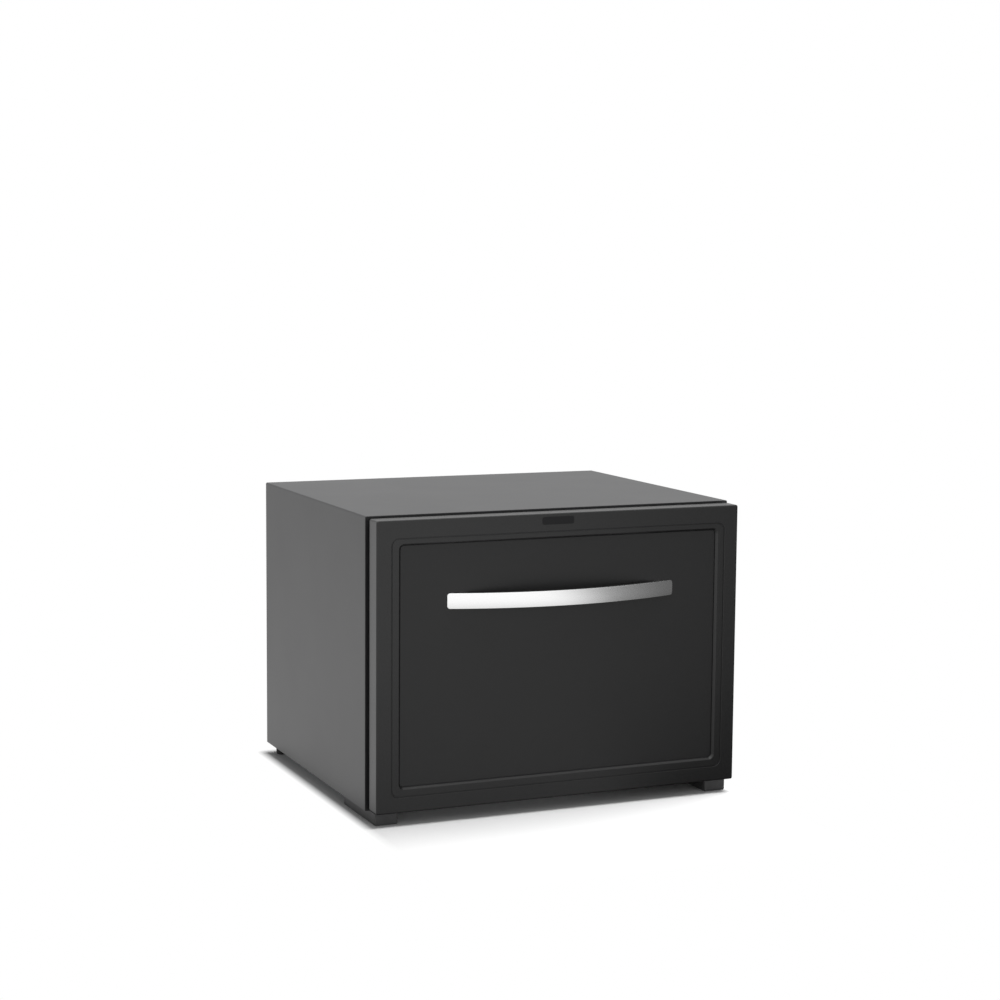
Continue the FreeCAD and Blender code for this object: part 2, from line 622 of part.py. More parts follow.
def runner_screws():
    """Flat screws that hold both fixed rails to the side walls."""
    left = [screw(place, V(-1, 0, 0), RUNNER_SCREW_LENGTH, RUNNER_SHEET)
            for place in runner_screw_places()]
    return Part.makeCompound(left + [mirrored(item) for item in left])


# ---------------------------------------------------------------- drawer carrier
def carrier_arm():
    """Left steel arm: gusseted web, floor ledge and a front tab for the drawer front."""
    x = -CARRIER_HALF
    low = CARRIER_FLOOR_Z
    front = Y_PLUG
    shoulder = front + CARRIER_FRONT_HEIGHT
    web = extruded([V(x, front, low), V(x, RUNNER_BACK, low), V(x, RUNNER_BACK, low + CARRIER_BACK_HEIGHT),
                    V(x, shoulder, low + CARRIER_BACK_HEIGHT), V(x, front, low + CARRIER_FRONT_HEIGHT)],
                   V(CARRIER_SHEET, 0, 0))
    ledge = box(x, x + CARRIER_LEDGE, front, RUNNER_BACK, low, low + CARRIER_SHEET)
    tab = box(x, x + CARRIER_TAB, front, front + CARRIER_SHEET, low, low + CARRIER_FRONT_HEIGHT)
    arm = fused([web, ledge, tab])
    return screw_holes(arm, carrier_screw_places(-1), V(0, -1, 0), CARRIER_SCREW_LENGTH)


def carrier_screw_places(side):
    """Where the carrier screws bear on the back of the front tabs."""
    x = side * (CARRIER_HALF - CARRIER_SCREW_INSET)
    return [V(x, Y_PLUG + CARRIER_SHEET, CARRIER_FLOOR_Z + CARRIER_FRONT_HEIGHT * share)
            for share in CARRIER_SCREW_SHARES]


def carrier_screws():
    """Screws that hold the arms' tabs to the drawer front."""
    return Part.makeCompound([screw(place, V(0, -1, 0), CARRIER_SCREW_LENGTH) for side in (-1, 1)
                              for place in carrier_screw_places(side)])


def carrier_floor():
    """Steel floor between the arms' ledges, lightened by rows of slots."""
    half = CARRIER_HALF - CARRIER_LEDGE
    floor = box(-half, half, BIN_FRONT, RUNNER_BACK, CARRIER_FLOOR_Z, CARRIER_FLOOR_Z + CARRIER_SHEET)
    pitch = (RUNNER_BACK - BIN_FRONT) / FLOOR_SLOT_ROWS
    for index in range(FLOOR_SLOT_ROWS):
        y0 = BIN_FRONT + pitch * (index + 0.5) - FLOOR_SLOT_DEPTH / 2
        slot = box(FLOOR_SLOT_MIDDLE / 2, half - FLOOR_SLOT_EDGE, y0, y0 + FLOOR_SLOT_DEPTH,
                   CARRIER_FLOOR_Z, CARRIER_FLOOR_Z + CARRIER_SHEET)
        floor = floor.cut(slot).cut(mirrored(slot))
    return floor


# ---------------------------------------------------------------- bin and divider
def bin_loft(shrink, low, high):
    """The tapered rounded block of the bin, every wall moved inwards by shrink."""
    sections = []
    for z, lean in ((low, BIN_DRAFT), (high, 0)):
        inward = shrink + lean
        outline = rounded_outline(-BIN_HALF + BIN_RIM + inward, BIN_HALF - BIN_RIM - inward,
                                  BIN_FRONT + BIN_RIM + inward, BIN_BACK - BIN_RIM - inward,
                                  BIN_CORNER - shrink)
        outline.rotate(V(0, 0, 0), V(1, 0, 0), -90)
        sections.append(outline.translated(V(0, 0, z)))
    return Part.makeLoft(sections, True, True)


def drawer_bin():
    """Moulded bin with drafted walls, a turned-out rim and a lower cross wall."""
    tub = bin_loft(0, BIN_LOW, BIN_TOP_Z).cut(bin_loft(BIN_WALL, BIN_LOW + BIN_WALL, BIN_TOP_Z))
    area = (-BIN_HALF, BIN_HALF, BIN_FRONT, BIN_BACK)
    hole = inset(area, BIN_RIM + BIN_WALL)
    rim = frame(area, BIN_CORNER + BIN_RIM, hole, BIN_CORNER - BIN_WALL, 0, BIN_RIM_HEIGHT)
    rim.rotate(V(0, 0, 0), V(1, 0, 0), -90)
    rim.translate(V(0, 0, BIN_TOP_Z))
    wall = box(-BIN_HALF, BIN_HALF, CROSS_WALL_Y, CROSS_WALL_Y + BIN_WALL, BIN_LOW + BIN_WALL / 2,
               BIN_TOP_Z - CROSS_WALL_DROP)
    wall = wall.common(bin_loft(BIN_WALL / 2, BIN_LOW, BIN_TOP_Z))
    return fused([tub, rim, wall])


def bottle_divider():
    """Plate across the front compartment that hooks over the bin's front rim and cross wall."""
    low = BIN_TOP_Z - DIVIDER_DROP
    front_wall = BIN_FRONT + BIN_RIM + BIN_WALL + BIN_DRAFT * DIVIDER_DROP / (BIN_TOP_Z - BIN_LOW)
    y0 = front_wall + DIVIDER_PLAY
    y1 = CROSS_WALL_Y - DIVIDER_PLAY
    half = DIVIDER_THICKNESS / 2
    cross_top = BIN_TOP_Z - CROSS_WALL_DROP
    top = BIN_TOP_Z + DIVIDER_PLAY
    points = [V(-half, y0, low), V(-half, y1, low), V(-half, y1, cross_top + DIVIDER_PLAY),
              V(-half, y0, top)]
    plate = extruded(points, V(DIVIDER_THICKNESS, 0, 0))
    window = box(-half, half, y0 + DIVIDER_WINDOW, y1 - DIVIDER_WINDOW, low + DIVIDER_WINDOW,
                 cross_top - DIVIDER_WINDOW)
    window = window.makeFillet(DIVIDER_WINDOW_ROUND, edges_where(window, lambda b: b.XLength > half))
    plate = plate.cut(window)
    front_hook = box(-DIVIDER_HOOK, DIVIDER_HOOK, BIN_FRONT - DIVIDER_THICKNESS - DIVIDER_PLAY,
                     y0 + DIVIDER_THICKNESS, top, top + DIVIDER_THICKNESS)
    front_lip = box(-DIVIDER_HOOK, DIVIDER_HOOK, BIN_FRONT + BIN_RIM + BIN_WALL + DIVIDER_PLAY,
                    y0 + DIVIDER_THICKNESS, top - DIVIDER_HOOK, top)
    front_hook = front_hook.common(box(-HALF, HALF, BIN_FRONT, BIN_BACK, 0, Z_TOP))
    rear_top = cross_top + DIVIDER_PLAY
    rear_hook = box(-DIVIDER_HOOK, DIVIDER_HOOK, y1 - DIVIDER_THICKNESS,
                    CROSS_WALL_Y + BIN_WALL + DIVIDER_PLAY + DIVIDER_THICKNESS,
                    rear_top, rear_top + DIVIDER_THICKNESS)
    rear_lip = box(-DIVIDER_HOOK, DIVIDER_HOOK, CROSS_WALL_Y + BIN_WALL + DIVIDER_PLAY,
                   CROSS_WALL_Y + BIN_WALL + DIVIDER_PLAY + DIVIDER_THICKNESS,
                   rear_top - DIVIDER_HOOK, rear_top)
    front_lip_in = box(-DIVIDER_HOOK, DIVIDER_HOOK, y1 - DIVIDER_THICKNESS, y1,
                       rear_top - DIVIDER_HOOK, rear_top)
    return fused([plate, front_hook, front_lip, rear_hook, rear_lip, front_lip_in])


# ---------------------------------------------------------------- drawer front
def front_area(side, low, high):
    """An area on the drawer front given by its margins from the front's outer edges."""
    return (-FRONT_HALF + side, FRONT_HALF - side, FRONT_LOW + low, FRONT_HIGH - high)


def line_area(shrink):
    """The area inside the parting groove, made smaller by shrink."""
    return front_area(LINE_SIDE + shrink, LINE_BOTTOM + shrink, LINE_TOP + shrink)


def front_frame():
    """Outer moulding of the drawer front: flat border, seat of the bezel and skirt round the foam."""
    outer = front_area(0, 0, 0)
    border = frame(outer, FRONT_CORNER, line_area(0), LINE_CORNER, Y_FACE, Y_PANEL)
    opening = inset(panel_area(), -PANEL_PLAY)
    seat = frame(outer, FRONT_CORNER, opening, PANEL_CORNER + PANEL_PLAY, Y_PANEL, Y_SEAT)
    skirt = frame(outer, FRONT_CORNER, inset(outer, FRAME_WALL), FRONT_CORNER, Y_SEAT, Y_FRONT_BACK)
    body = fused([border, seat, skirt])
    rim = edges_where(body, lambda b: b.YMax < Y_FACE + 1e-3 and (
        b.XMax < -FRONT_HALF + FRONT_CORNER + 1e-3 or b.XMin > FRONT_HALF - FRONT_CORNER - 1e-3
        or b.ZMin > FRONT_HIGH - FRONT_CORNER - 1e-3 or b.ZMax < FRONT_LOW + FRONT_CORNER + 1e-3))
    body = body.makeFillet(FRONT_EDGE_ROUND, rim)
    return body.cut(badge_seat())


def panel_bezel():
    """Inner ring of the drawer front whose inside edge rolls down to the flat panel."""
    inner = front_area(PANEL_MARGIN, PANEL_MARGIN, PANEL_MARGIN)
    ring = frame(line_area(LINE_GROOVE), LINE_CORNER - LINE_GROOVE, inner, PANEL_CORNER, Y_FACE, Y_PANEL)
    half = FRONT_HALF - PANEL_MARGIN
    low = FRONT_LOW + PANEL_MARGIN
    high = FRONT_HIGH - PANEL_MARGIN
    roll = edges_where(ring, lambda b: b.YMax < Y_FACE + 1e-3 and b.XMin > -half - 1 and b.XMax < half + 1
                       and b.ZMin > low - 1 and b.ZMax < high + 1)
    return ring.makeFillet(BEZEL_ROUND, roll)


def panel_area():
    """The inner panel's outline, reaching behind the bezel."""
    margin = PANEL_MARGIN - PANEL_TUCK
    return front_area(margin, margin, margin)


def decor_panel():
    """Flat panel behind the bezel, with the holes of the handle screws."""
    panel = slab(*panel_area(), PANEL_CORNER, Y_PANEL, Y_SEAT)
    return screw_holes(panel, handle_screw_places(), V(0, -1, 0), HANDLE_SCREW_LENGTH)


def front_cover():
    """Inner cover of the drawer front with the step that enters the cabinet's mouth."""
    outer = inset(front_area(0, 0, 0), FRAME_WALL)
    plate = slab(*outer, FRONT_CORNER, Y_COVER, Y_FRONT_BACK)
    step = plug_step(0)
    hollow = plug_step(COVER_THICKNESS)
    cover = fused([plate, step]).cut(hollow)
    for side in (-1, 1):
        cover = screw_holes(cover, carrier_screw_places(side), V(0, -1, 0), CARRIER_SCREW_LENGTH)
    return cover


def plug_step(wall):
    """The step of the front inside the cabinet's mouth, made smaller by a wall."""
    half = CAVITY_HALF - PLUG_CLEARANCE - wall
    low = CAVITY_LOW + PLUG_CLEARANCE + wall
    high = CAVITY_HIGH - PLUG_CLEARANCE - wall
    return slab(-half, half, low, high, LINER_CORNER - wall, Y_COVER, Y_PLUG - wall)


def front_foam():
    """Foam inside the drawer front."""
    outer = inset(front_area(0, 0, 0), FRAME_WALL)
    core = slab(*outer, FRONT_CORNER, Y_SEAT, Y_COVER)
    foam = fused([core, plug_step(COVER_THICKNESS)])
    for place in handle_screw_places():
        foam = foam.cut(box(place.x - SCREW_POCKET, place.x + SCREW_POCKET, place.y,
                            place.y + SCREW_HEAD_HEIGHT, place.z - SCREW_POCKET, place.z + SCREW_POCKET))
    return foam


def gasket():
    """Magnetic gasket: base strip, narrow bellows waist and magnet lip, all mitred rings."""
    outer = inset(front_area(0, 0, 0), GASKET_INSET)
    waist_inset = (GASKET_WIDTH - GASKET_WAIST) / 2
    y_lip = Y_CABINET - GASKET_CLEARANCE - GASKET_LIP
    rings = [frame(outer, 0, inset(outer, GASKET_WIDTH), 0, Y_FRONT_BACK, Y_FRONT_BACK + GASKET_LIP),
             frame(inset(outer, waist_inset), 0, inset(outer, waist_inset + GASKET_WAIST), 0,
                   Y_FRONT_BACK + GASKET_LIP, y_lip),
             frame(outer, 0, inset(outer, GASKET_WIDTH), 0, y_lip, Y_CABINET - GASKET_CLEARANCE)]
    return fused(rings)


# ---------------------------------------------------------------- handle and badge
def handle_arc(half_chord, sagitta, y_end):
    """An arc in the XY plane bowed towards -Y."""
    return Part.Arc(V(-half_chord, y_end, 0), V(0, y_end - sagitta, 0), V(half_chord, y_end, 0)).toShape()


def handle():
    """Bowed strap with round long edges and round ends that lie on the panel as pads."""
    half = HANDLE_LENGTH / 2
    y_tip = Y_PANEL - HANDLE_TIP
    sagitta = HANDLE_REACH + PANEL_RECESS - HANDLE_TIP
    front = handle_arc(half, sagitta, y_tip)
    inner_half = half - HANDLE_PAD
    back_sagitta = HANDLE_REACH + PANEL_RECESS - HANDLE_THICKNESS
    back = handle_arc(inner_half, back_sagitta, Y_PANEL)
    ends = [Part.LineSegment(V(half, y_tip, 0), V(half, Y_PANEL, 0)).toShape(),
            Part.LineSegment(V(half, Y_PANEL, 0), V(inner_half, Y_PANEL, 0)).toShape(),
            back,
            Part.LineSegment(V(-inner_half, Y_PANEL, 0), V(-half, Y_PANEL, 0)).toShape(),
            Part.LineSegment(V(-half, Y_PANEL, 0), V(-half, y_tip, 0)).toShape()]
    wire = Part.Wire(Part.__sortEdges__([front] + ends))
    strap = Part.Face(wire).extrude(V(0, 0, HANDLE_HEIGHT))
    low = HANDLE_CENTRE_Z - HANDLE_HEIGHT / 2
    strap.translate(V(0, 0, low))
    middle = Y_FACE - HANDLE_REACH + HANDLE_THICKNESS / 2
    long_edges = edges_where(strap, lambda b: b.XLength > HANDLE_LENGTH * 0.9 and b.YMin < middle)
    strap = strap.makeFillet(HANDLE_CROWN, long_edges)
    outline = slab(-half, half, low, low + HANDLE_HEIGHT, HANDLE_END_ROUND, Y_FACE - HANDLE_REACH, Y_PANEL)
    strap = strap.common(outline)
    return screw_holes(strap, handle_screw_places(), V(0, -1, 0), HANDLE_SCREW_LENGTH)


def handle_screw_places():
    """Where the handle screws bear on the back of the panel."""
    x = HANDLE_LENGTH / 2 - HANDLE_SCREW_INSET
    return [V(side * x, Y_SEAT, HANDLE_CENTRE_Z) for side in (-1, 1)]


def handle_screws():
    """Long screws from inside the front into the handle's pads."""
    return Part.makeCompound([screw(place, V(0, -1, 0), HANDLE_SCREW_LENGTH)
                              for place in handle_screw_places()])


def badge_area():
    """The badge plate's rectangle on the upper border."""
    z = FRONT_HIGH - BADGE_DROP
    return (BADGE_X - BADGE_LENGTH / 2, BADGE_X + BADGE_LENGTH / 2, z - BADGE_HEIGHT / 2,
            z + BADGE_HEIGHT / 2)


def badge_seat():
    """The shallow pocket that the badge plate lies in."""
    return slab(*badge_area(), BADGE_HEIGHT / 4, Y_FACE, Y_FACE + BADGE_THICKNESS / 2)


def badge_plate():
    """Bare plate with round corners, half sunk in its pocket."""
    return slab(*badge_area(), BADGE_HEIGHT / 4, Y_FACE - BADGE_THICKNESS / 2,
                Y_FACE + BADGE_THICKNESS / 2)


# ---------------------------------------------------------------- cold side of the cooling unit
def plug_area(margin):
    """The evaporator plug's rectangle in the cabinet's back, grown by a margin."""
    z = (GAS_Z + RETURN_Z) / 2
    return (PLUG_X - PLUG_WIDTH / 2 - margin, PLUG_X + PLUG_WIDTH / 2 + margin,
            z - PLUG_HEIGHT / 2 - margin, z + PLUG_HEIGHT / 2 + margin)


def evaporator_plate():
    """Extruded aluminium plate with upright cooling fins on the cavity's back wall."""
    half = EVAPORATOR_HALF
    y1 = CAVITY_BACK
    y0 = y1 - EVAPORATOR_BASE
    low = EVAPORATOR_CENTRE_Z - EVAPORATOR_HEIGHT / 2
    pitch = (2 * half - EVAPORATOR_FIN) / (EVAPORATOR_FINS - 1)
    pieces = [box(-half, half, y0, y1, low, low + EVAPORATOR_HEIGHT)]
    for index in range(EVAPORATOR_FINS):
        x = -half + pitch * index
        pieces.append(box(x, x + EVAPORATOR_FIN, y0 - EVAPORATOR_FIN_DEPTH, y0, low,
                          low + EVAPORATOR_HEIGHT))
    return fused(pieces)


def drip_channel():
    """Gutter under the evaporator fins that catches the melt water."""
    half = EVAPORATOR_HALF + GUTTER_REACH
    low = EVAPORATOR_CENTRE_Z - EVAPORATOR_HEIGHT / 2 - GUTTER_DROP
    y1 = CAVITY_BACK
    y0 = y1 - EVAPORATOR_BASE - EVAPORATOR_FIN_DEPTH - GUTTER_AHEAD
    wall = LINER_WALL
    back = low + GUTTER_BACK
    lip = low + GUTTER_LIP
    points = [V(-half, y1, back), V(-half, y1, low), V(-half, y0, low), V(-half, y0, lip),
              V(-half, y0 + wall, lip), V(-half, y0 + wall, low + wall),
              V(-half, y1 - wall, low + wall), V(-half, y1 - wall, back)]
    gutter = extruded(points, V(2 * half, 0, 0))
    cap = box(-half, -half + wall, y0, y1, low, lip)
    return fused([gutter, cap, mirrored(cap)])


def evaporator_plug():
    """Insulating block behind the evaporator, closed by a flanged cover in the rear bay."""
    block = slab(*plug_area(0), 0, LINER_BACK, Y_BACK_PLATE)
    cover = slab(*plug_area(PLUG_FLANGE), 0, Y_BACK_PLATE, Y_BACK_PLATE + 2 * SHEET)
    return fused([block, cover]).cut(condenser_tube()).cut(gas_route())


# ---------------------------------------------------------------- control and lamp
def control_area():
    """Plan of the control housing on the cavity's ceiling: x0, x1, y0, y1."""
    return (CONTROL_CENTRE_X - CONTROL_LENGTH / 2, CONTROL_CENTRE_X + CONTROL_LENGTH / 2,
            CONTROL_FRONT, CONTROL_FRONT + CONTROL_DEPTH)


def lamp_area():
    """Plan of the lamp window in the housing's underside."""
    x0, _, y0, y1 = control_area()
    left = x0 + LAMP_INSET
    middle = (y0 + y1) / 2
    return (left, left + LAMP_LENGTH, middle - LAMP_DEPTH / 2, middle + LAMP_DEPTH / 2)


def knob_place():
    """Centre of the knob's seat on the housing's front face."""
    x = CONTROL_CENTRE_X + CONTROL_LENGTH / 2 - KNOB_RADIUS - KNOB_INSET
    return V(x, CONTROL_FRONT, CAVITY_HIGH - CONTROL_HEIGHT / 2)


def control_housing():
    """Moulded housing of lamp and thermostat with round lower edges."""
    x0, x1, y0, y1 = control_area()
    low = CAVITY_HIGH - CONTROL_HEIGHT
    body = box(x0, x1, y0, y1, low, CAVITY_HIGH)
    body = body.makeFillet(CONTROL_ROUND, edges_where(body, lambda b: b.ZMax < low + 1e-3))
    lx0, lx1, ly0, ly1 = lamp_area()
    body = body.cut(box(lx0, lx1, ly0, ly1, low, low + LAMP_THICKNESS))
    place = knob_place()
    depth = KNOB_LENGTH - KNOB_GAP + KNOB_PLAY
    return body.cut(cylinder(KNOB_SHAFT_RADIUS + KNOB_PLAY, place, V(0, 1, 0), depth))


def lamp_lens():
    """Diffuser of the cabinet lamp, flush with the housing's underside."""
    x0, x1, y0, y1 = lamp_area()
    low = CAVITY_HIGH - CONTROL_HEIGHT
    return box(x0, x1, y0, y1, low, low + LAMP_THICKNESS)


def thermostat_knob():
    """Many-sided grip with a pointer ridge, on its shaft in the housing."""
    place = knob_place()
    front = place.y - KNOB_LENGTH - KNOB_GAP
    ahead = V(0, 1, 0)
    grip = bar(KNOB_RADIUS, V(place.x, front, place.z), ahead, KNOB_LENGTH, KNOB_SIDES)
    grip = grip.makeChamfer(KNOB_CHAMFER, edges_where(grip, lambda b: b.YMax < front + 1e-3))
    half = POINTER_WIDTH / 2
    pointer = box(place.x - half, place.x + half, front - POINTER_RISE, front + KNOB_CHAMFER,
                  place.z, place.z + KNOB_RADIUS - KNOB_CHAMFER * 2)
    shaft = cylinder(KNOB_SHAFT_RADIUS, V(place.x, front + KNOB_CHAMFER, place.z), ahead,
                     2 * KNOB_LENGTH - KNOB_CHAMFER)
    return fused([grip, pointer, shaft])


# ---------------------------------------------------------------- cooling unit in the rear bay
def boiler_tube():
    """Upright steel tube through the jacket."""
    low = JACKET_BOTTOM - BOILER_STUB
    height = JACKET_TOP + BOILER_STUB - low
    return bar(BOILER_TUBE / 2, V(JACKET_X, BAY_Y, low), V(0, 0, 1), height, TUBE_SIDES)


def boiler_jacket():
    """Sheet metal can around the boiler's insulation, with round upright edges."""
    half = JACKET_WIDTH / 2
    deep = JACKET_DEPTH / 2
    can = box(JACKET_X - half, JACKET_X + half, BAY_Y - deep, BAY_Y + deep, JACKET_BOTTOM, JACKET_TOP)
    can = can.makeFillet(JACKET_ROUND, edges_where(can, lambda b: b.ZLength > JACKET_WIDTH))
    return can.cut(boiler_tube())


def condenser_tube():
    """Vapour tube from the boiler's top, falling through the fins and into the evaporator plug."""
    top = JACKET_TOP + BOILER_STUB
    route = [V(JACKET_X, BAY_Y, top), V(JACKET_X, BAY_Y, CONDENSER_Z),
             V(RETURN_X, BAY_Y, CONDENSER_Z - CONDENSER_FALL), V(RETURN_X, BAY_Y, RETURN_Z),
             V(RETURN_X, CAVITY_BACK, RETURN_Z)]
    return tube(route, CONDENSER_TUBE * TUBE_BEND, CONDENSER_TUBE)


def condenser_fins():
    """Pressed plate fins threaded on the falling run of the condenser tube."""
    fall = CONDENSER_FALL / (JACKET_X - RETURN_X)
    carrier = condenser_tube()
    first = (JACKET_X + RETURN_X) / 2 - FIN_PITCH * (FIN_COUNT - 1) / 2
    fins = []
    for index in range(FIN_COUNT):
        x = first + FIN_PITCH * index
        z = CONDENSER_Z - fall * (JACKET_X - x)
        plate = box(x, x + FIN_SHEET, BAY_Y - FIN_WIDTH / 2, BAY_Y + FIN_WIDTH / 2,
                    z - FIN_HEIGHT / 2, z + FIN_HEIGHT / 2)
        fins.append(plate.cut(carrier))
    return Part.makeCompound(fins)


def vessel_body():
    """The absorber vessel: a lying tank with tapered ends."""
    tank = bar(VESSEL_RADIUS, V(VESSEL_X - VESSEL_LENGTH / 2, BAY_Y, VESSEL_Z), V(1, 0, 0),
               VESSEL_LENGTH, VESSEL_SIDES)
    ends = edges_where(tank, lambda b: b.XLength < 1e-3)
    return tank.makeChamfer(VESSEL_RADIUS / 4, ends)


def gas_route():
    """Tube from the evaporator plug, down into the absorber vessel."""
    route = [V(GAS_X, CAVITY_BACK, GAS_Z), V(GAS_X, BAY_Y, GAS_Z), V(GAS_X, BAY_Y, VESSEL_Z)]
    return tube(route, GAS_TUBE * TUBE_BEND, GAS_TUBE)


def gas_heat_exchanger():
    """Wide tube between evaporator and absorber vessel, ending on the vessel's wall."""
    return gas_route().cut(vessel_body())


def absorber_coil():
    """Level passes from the vessel up to the gas tube, joined by tilted half circles."""
    near = BAY_Y - COIL_SPREAD / 2
    far = BAY_Y + COIL_SPREAD / 2
    corner = V(COIL_LEFT - COIL_BEND, near, COIL_FIRST_Z)
    end = V(COIL_RIGHT, near, COIL_FIRST_Z)
    pieces = [tube([V(corner.x, near, VESSEL_Z), corner, end], COIL_BEND, COIL_TUBE)]
    direction = V(1, 0, 0)
    for index in range(1, COIL_PASSES):
        start = V(end.x, far if end.y == near else near, end.z + COIL_RISE)
        face = section(COIL_TUBE / 2, end, direction, TUBE_SIDES)
        axis = direction.cross(start - end).normalize()
        turned(face, (start + end) / 2, axis, 180, pieces)
        direction = -direction
        if index < COIL_PASSES - 1:
            end = start + direction * (COIL_RIGHT - COIL_LEFT)
            pieces.append(tube([start, end], COIL_BEND, COIL_TUBE))
    outlet = [start, V(GAS_X, start.y, start.z), V(GAS_X, BAY_Y, start.z)]
    pieces.append(tube(outlet, COIL_BEND, COIL_TUBE))
    return fused(pieces).cut(vessel_body()).cut(gas_route())


def liquid_heat_exchanger():
    """Return tube from the vessel's underside along the floor and up into the boiler."""
    start = V(VESSEL_X + VESSEL_LENGTH / 4, BAY_Y, LIQUID_Z)
    end = V(JACKET_X, BAY_Y, JACKET_BOTTOM - BOILER_STUB)
    route = [start, V(JACKET_X, BAY_Y, LIQUID_Z), end]
    return tube(route, LIQUID_TUBE * TUBE_BEND, LIQUID_TUBE).cut(vessel_body())


def unit_brackets():
    """Two folded straps that hang the cooling unit from the back plate."""
    half = JACKET_WIDTH / 2 + BRACKET_REACH
    middle = BRACKET_SPACER / 2
    straps = []
    for z in (JACKET_BOTTOM + BRACKET_INSET, JACKET_TOP - BRACKET_INSET - BRACKET_HEIGHT):
        strap = box(JACKET_X - half, JACKET_X + half, Y_BACK_PLATE, Y_BACK_PLATE + 2 * SHEET,
                    z, z + BRACKET_HEIGHT)
        spacer = box(JACKET_X - middle, JACKET_X + middle, Y_BACK_PLATE, BAY_Y - JACKET_DEPTH / 2,
                     z, z + BRACKET_HEIGHT)
        straps.append(fused([strap, spacer]))
    return Part.makeCompound(straps)


def vessel_cradle():
    """Saddle on the base pan that carries the absorber vessel."""
    half = VESSEL_RADIUS + CRADLE_REACH
    saddles = []
    for share in CRADLE_SHARES:
        x = VESSEL_X + VESSEL_LENGTH * (share - 0.5) - CRADLE_THICKNESS / 2
        saddle = box(x, x + CRADLE_THICKNESS, BAY_Y - half, BAY_Y + half, Z_BOTTOM + SHEET,
                     VESSEL_Z - CRADLE_REACH)
        saddles.append(saddle.cut(vessel_body()))
    return Part.makeCompound(saddles)


# ---------------------------------------------------------------- electronics at the back
def box_area():
    """The electronics box seen from behind: x0, x1, z0, z1."""
    return (BOX_X - BOX_WIDTH / 2, BOX_X + BOX_WIDTH / 2, BOX_Z - BOX_HEIGHT / 2, BOX_Z + BOX_HEIGHT / 2)


def electronics_box():
    """Moulded tray on the back plate, open towards the rear."""
    area = box_area()
    y1 = Y_BACK_PLATE + BOX_DEPTH - BOX_WALL
    tray = slab(*area, 0, Y_BACK_PLATE, y1)
    return tray.cut(slab(*inset(area, BOX_WALL), 0, Y_BACK_PLATE + BOX_WALL, y1))


def electronics_cover():
    """Cover of the electronics box with a row of cooling slots and the gland's hole."""
    y1 = Y_BACK_PLATE + BOX_DEPTH
    cover = slab(*box_area(), 0, y1 - BOX_WALL, y1)
    half = SLOT_HEIGHT / 2
    for index in range(SLOT_COUNT):
        x = box_area()[0] + SLOT_INSET + SLOT_PITCH * index
        cover = cover.cut(box(x, x + SLOT_WIDTH, y1 - BOX_WALL, y1, BOX_Z - half, BOX_Z + half))
    place = gland_place()
    hole = bar(GLAND_RADIUS, V(place.x, y1 - BOX_WALL, place.z), V(0, 1, 0), BOX_WALL, GLAND_SIDES)
    return cover.cut(hole)


def gland_place():
    """Centre of the cord gland on the box's cover."""
    return V(BOX_X + BOX_WIDTH / 2 - GLAND_RADIUS * 2, Y_BACK_PLATE + BOX_DEPTH, BOX_Z)


def cord_gland():
    """Round gland with a six-sided nut, through which a supply cord can be led."""
    place = gland_place()
    back = place - V(0, BOX_WALL, 0)
    barrel = bar(GLAND_RADIUS, back, V(0, 1, 0), GLAND_LENGTH, GLAND_SIDES)
    nut = bar(GLAND_NUT, place, V(0, 1, 0), BOX_WALL, SCREW_SIDES)
    return fused([barrel, nut]).cut(cylinder(GLAND_BORE, back, V(0, 1, 0), GLAND_LENGTH))


# ---------------------------------------------------------------- every node
def nodes():
    """Node names and their shapes."""
    parts = {
        "outer_shell": outer_shell(),
        "base_pan": base_pan(),
        "back_plate": back_plate(),
        "inner_liner": inner_liner(),
        "breaker_frame": breaker_frame(),
        "insulation": insulation(),
        "foot_screws": foot_screws(),
        "rear_feet": rear_feet(),
        "runner_screws": runner_screws(),
        "carrier_floor": carrier_floor(),
        "carrier_screws": carrier_screws(),
        "drawer_bin": drawer_bin(),
        "bottle_divider": bottle_divider(),
        "front_frame": front_frame(),
        "panel_bezel": panel_bezel(),
        "decor_panel": decor_panel(),
        "front_cover": front_cover(),
        "front_foam": front_foam(),
        "gasket": gasket(),
        "handle": handle(),
        "handle_screws": handle_screws(),
        "badge_plate": badge_plate(),
        "evaporator_plate": evaporator_plate(),
        "drip_channel": drip_channel(),
        "evaporator_plug": evaporator_plug(),
        "control_housing": control_housing(),
        "lamp_lens": lamp_lens(),
        "thermostat_knob": thermostat_knob(),
        "boiler_tube": boiler_tube(),
        "boiler_jacket": boiler_jacket(),
        "condenser_tube": condenser_tube(),
        "condenser_fins": condenser_fins(),
        "absorber_vessel": vessel_body(),
        "gas_heat_exchanger": gas_heat_exchanger(),
        "absorber_coil": absorber_coil(),
        "liquid_heat_exchanger": liquid_heat_exchanger(),
        "unit_brackets": unit_brackets(),
        "vessel_cradle": vessel_cradle(),
        "electronics_box": electronics_box(),
        "electronics_cover": electronics_cover(),
        "cord_gland": cord_gland(),
    }
    for side, word in ((-1, "left"), (1, "right")):
        parts[f"front_foot_{word}"] = front_foot(side)
    paired = {"outer_runner": outer_runner(), "middle_runner": middle_runner(),
              "inner_runner": inner_runner(), "carrier_arm": carrier_arm()}
    for name, left in paired.items():
        parts[f"{name}_left"] = left
        parts[f"{name}_right"] = mirrored(left)
    return parts


def main():
    """Writes one STEP file per node."""
    os.makedirs("parts", exist_ok=True)
    for name, shape in nodes().items():
        if not shape.isValid():
            print("not valid:", name)
        shape.exportStep(f"parts/{name}.step")


main()
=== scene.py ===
"""Looks of a drawer minibar: finishes of its solids, its mouldings, seal, handle, tubes and the studio."""
import math

import bpy
from mathutils import Matrix, Vector


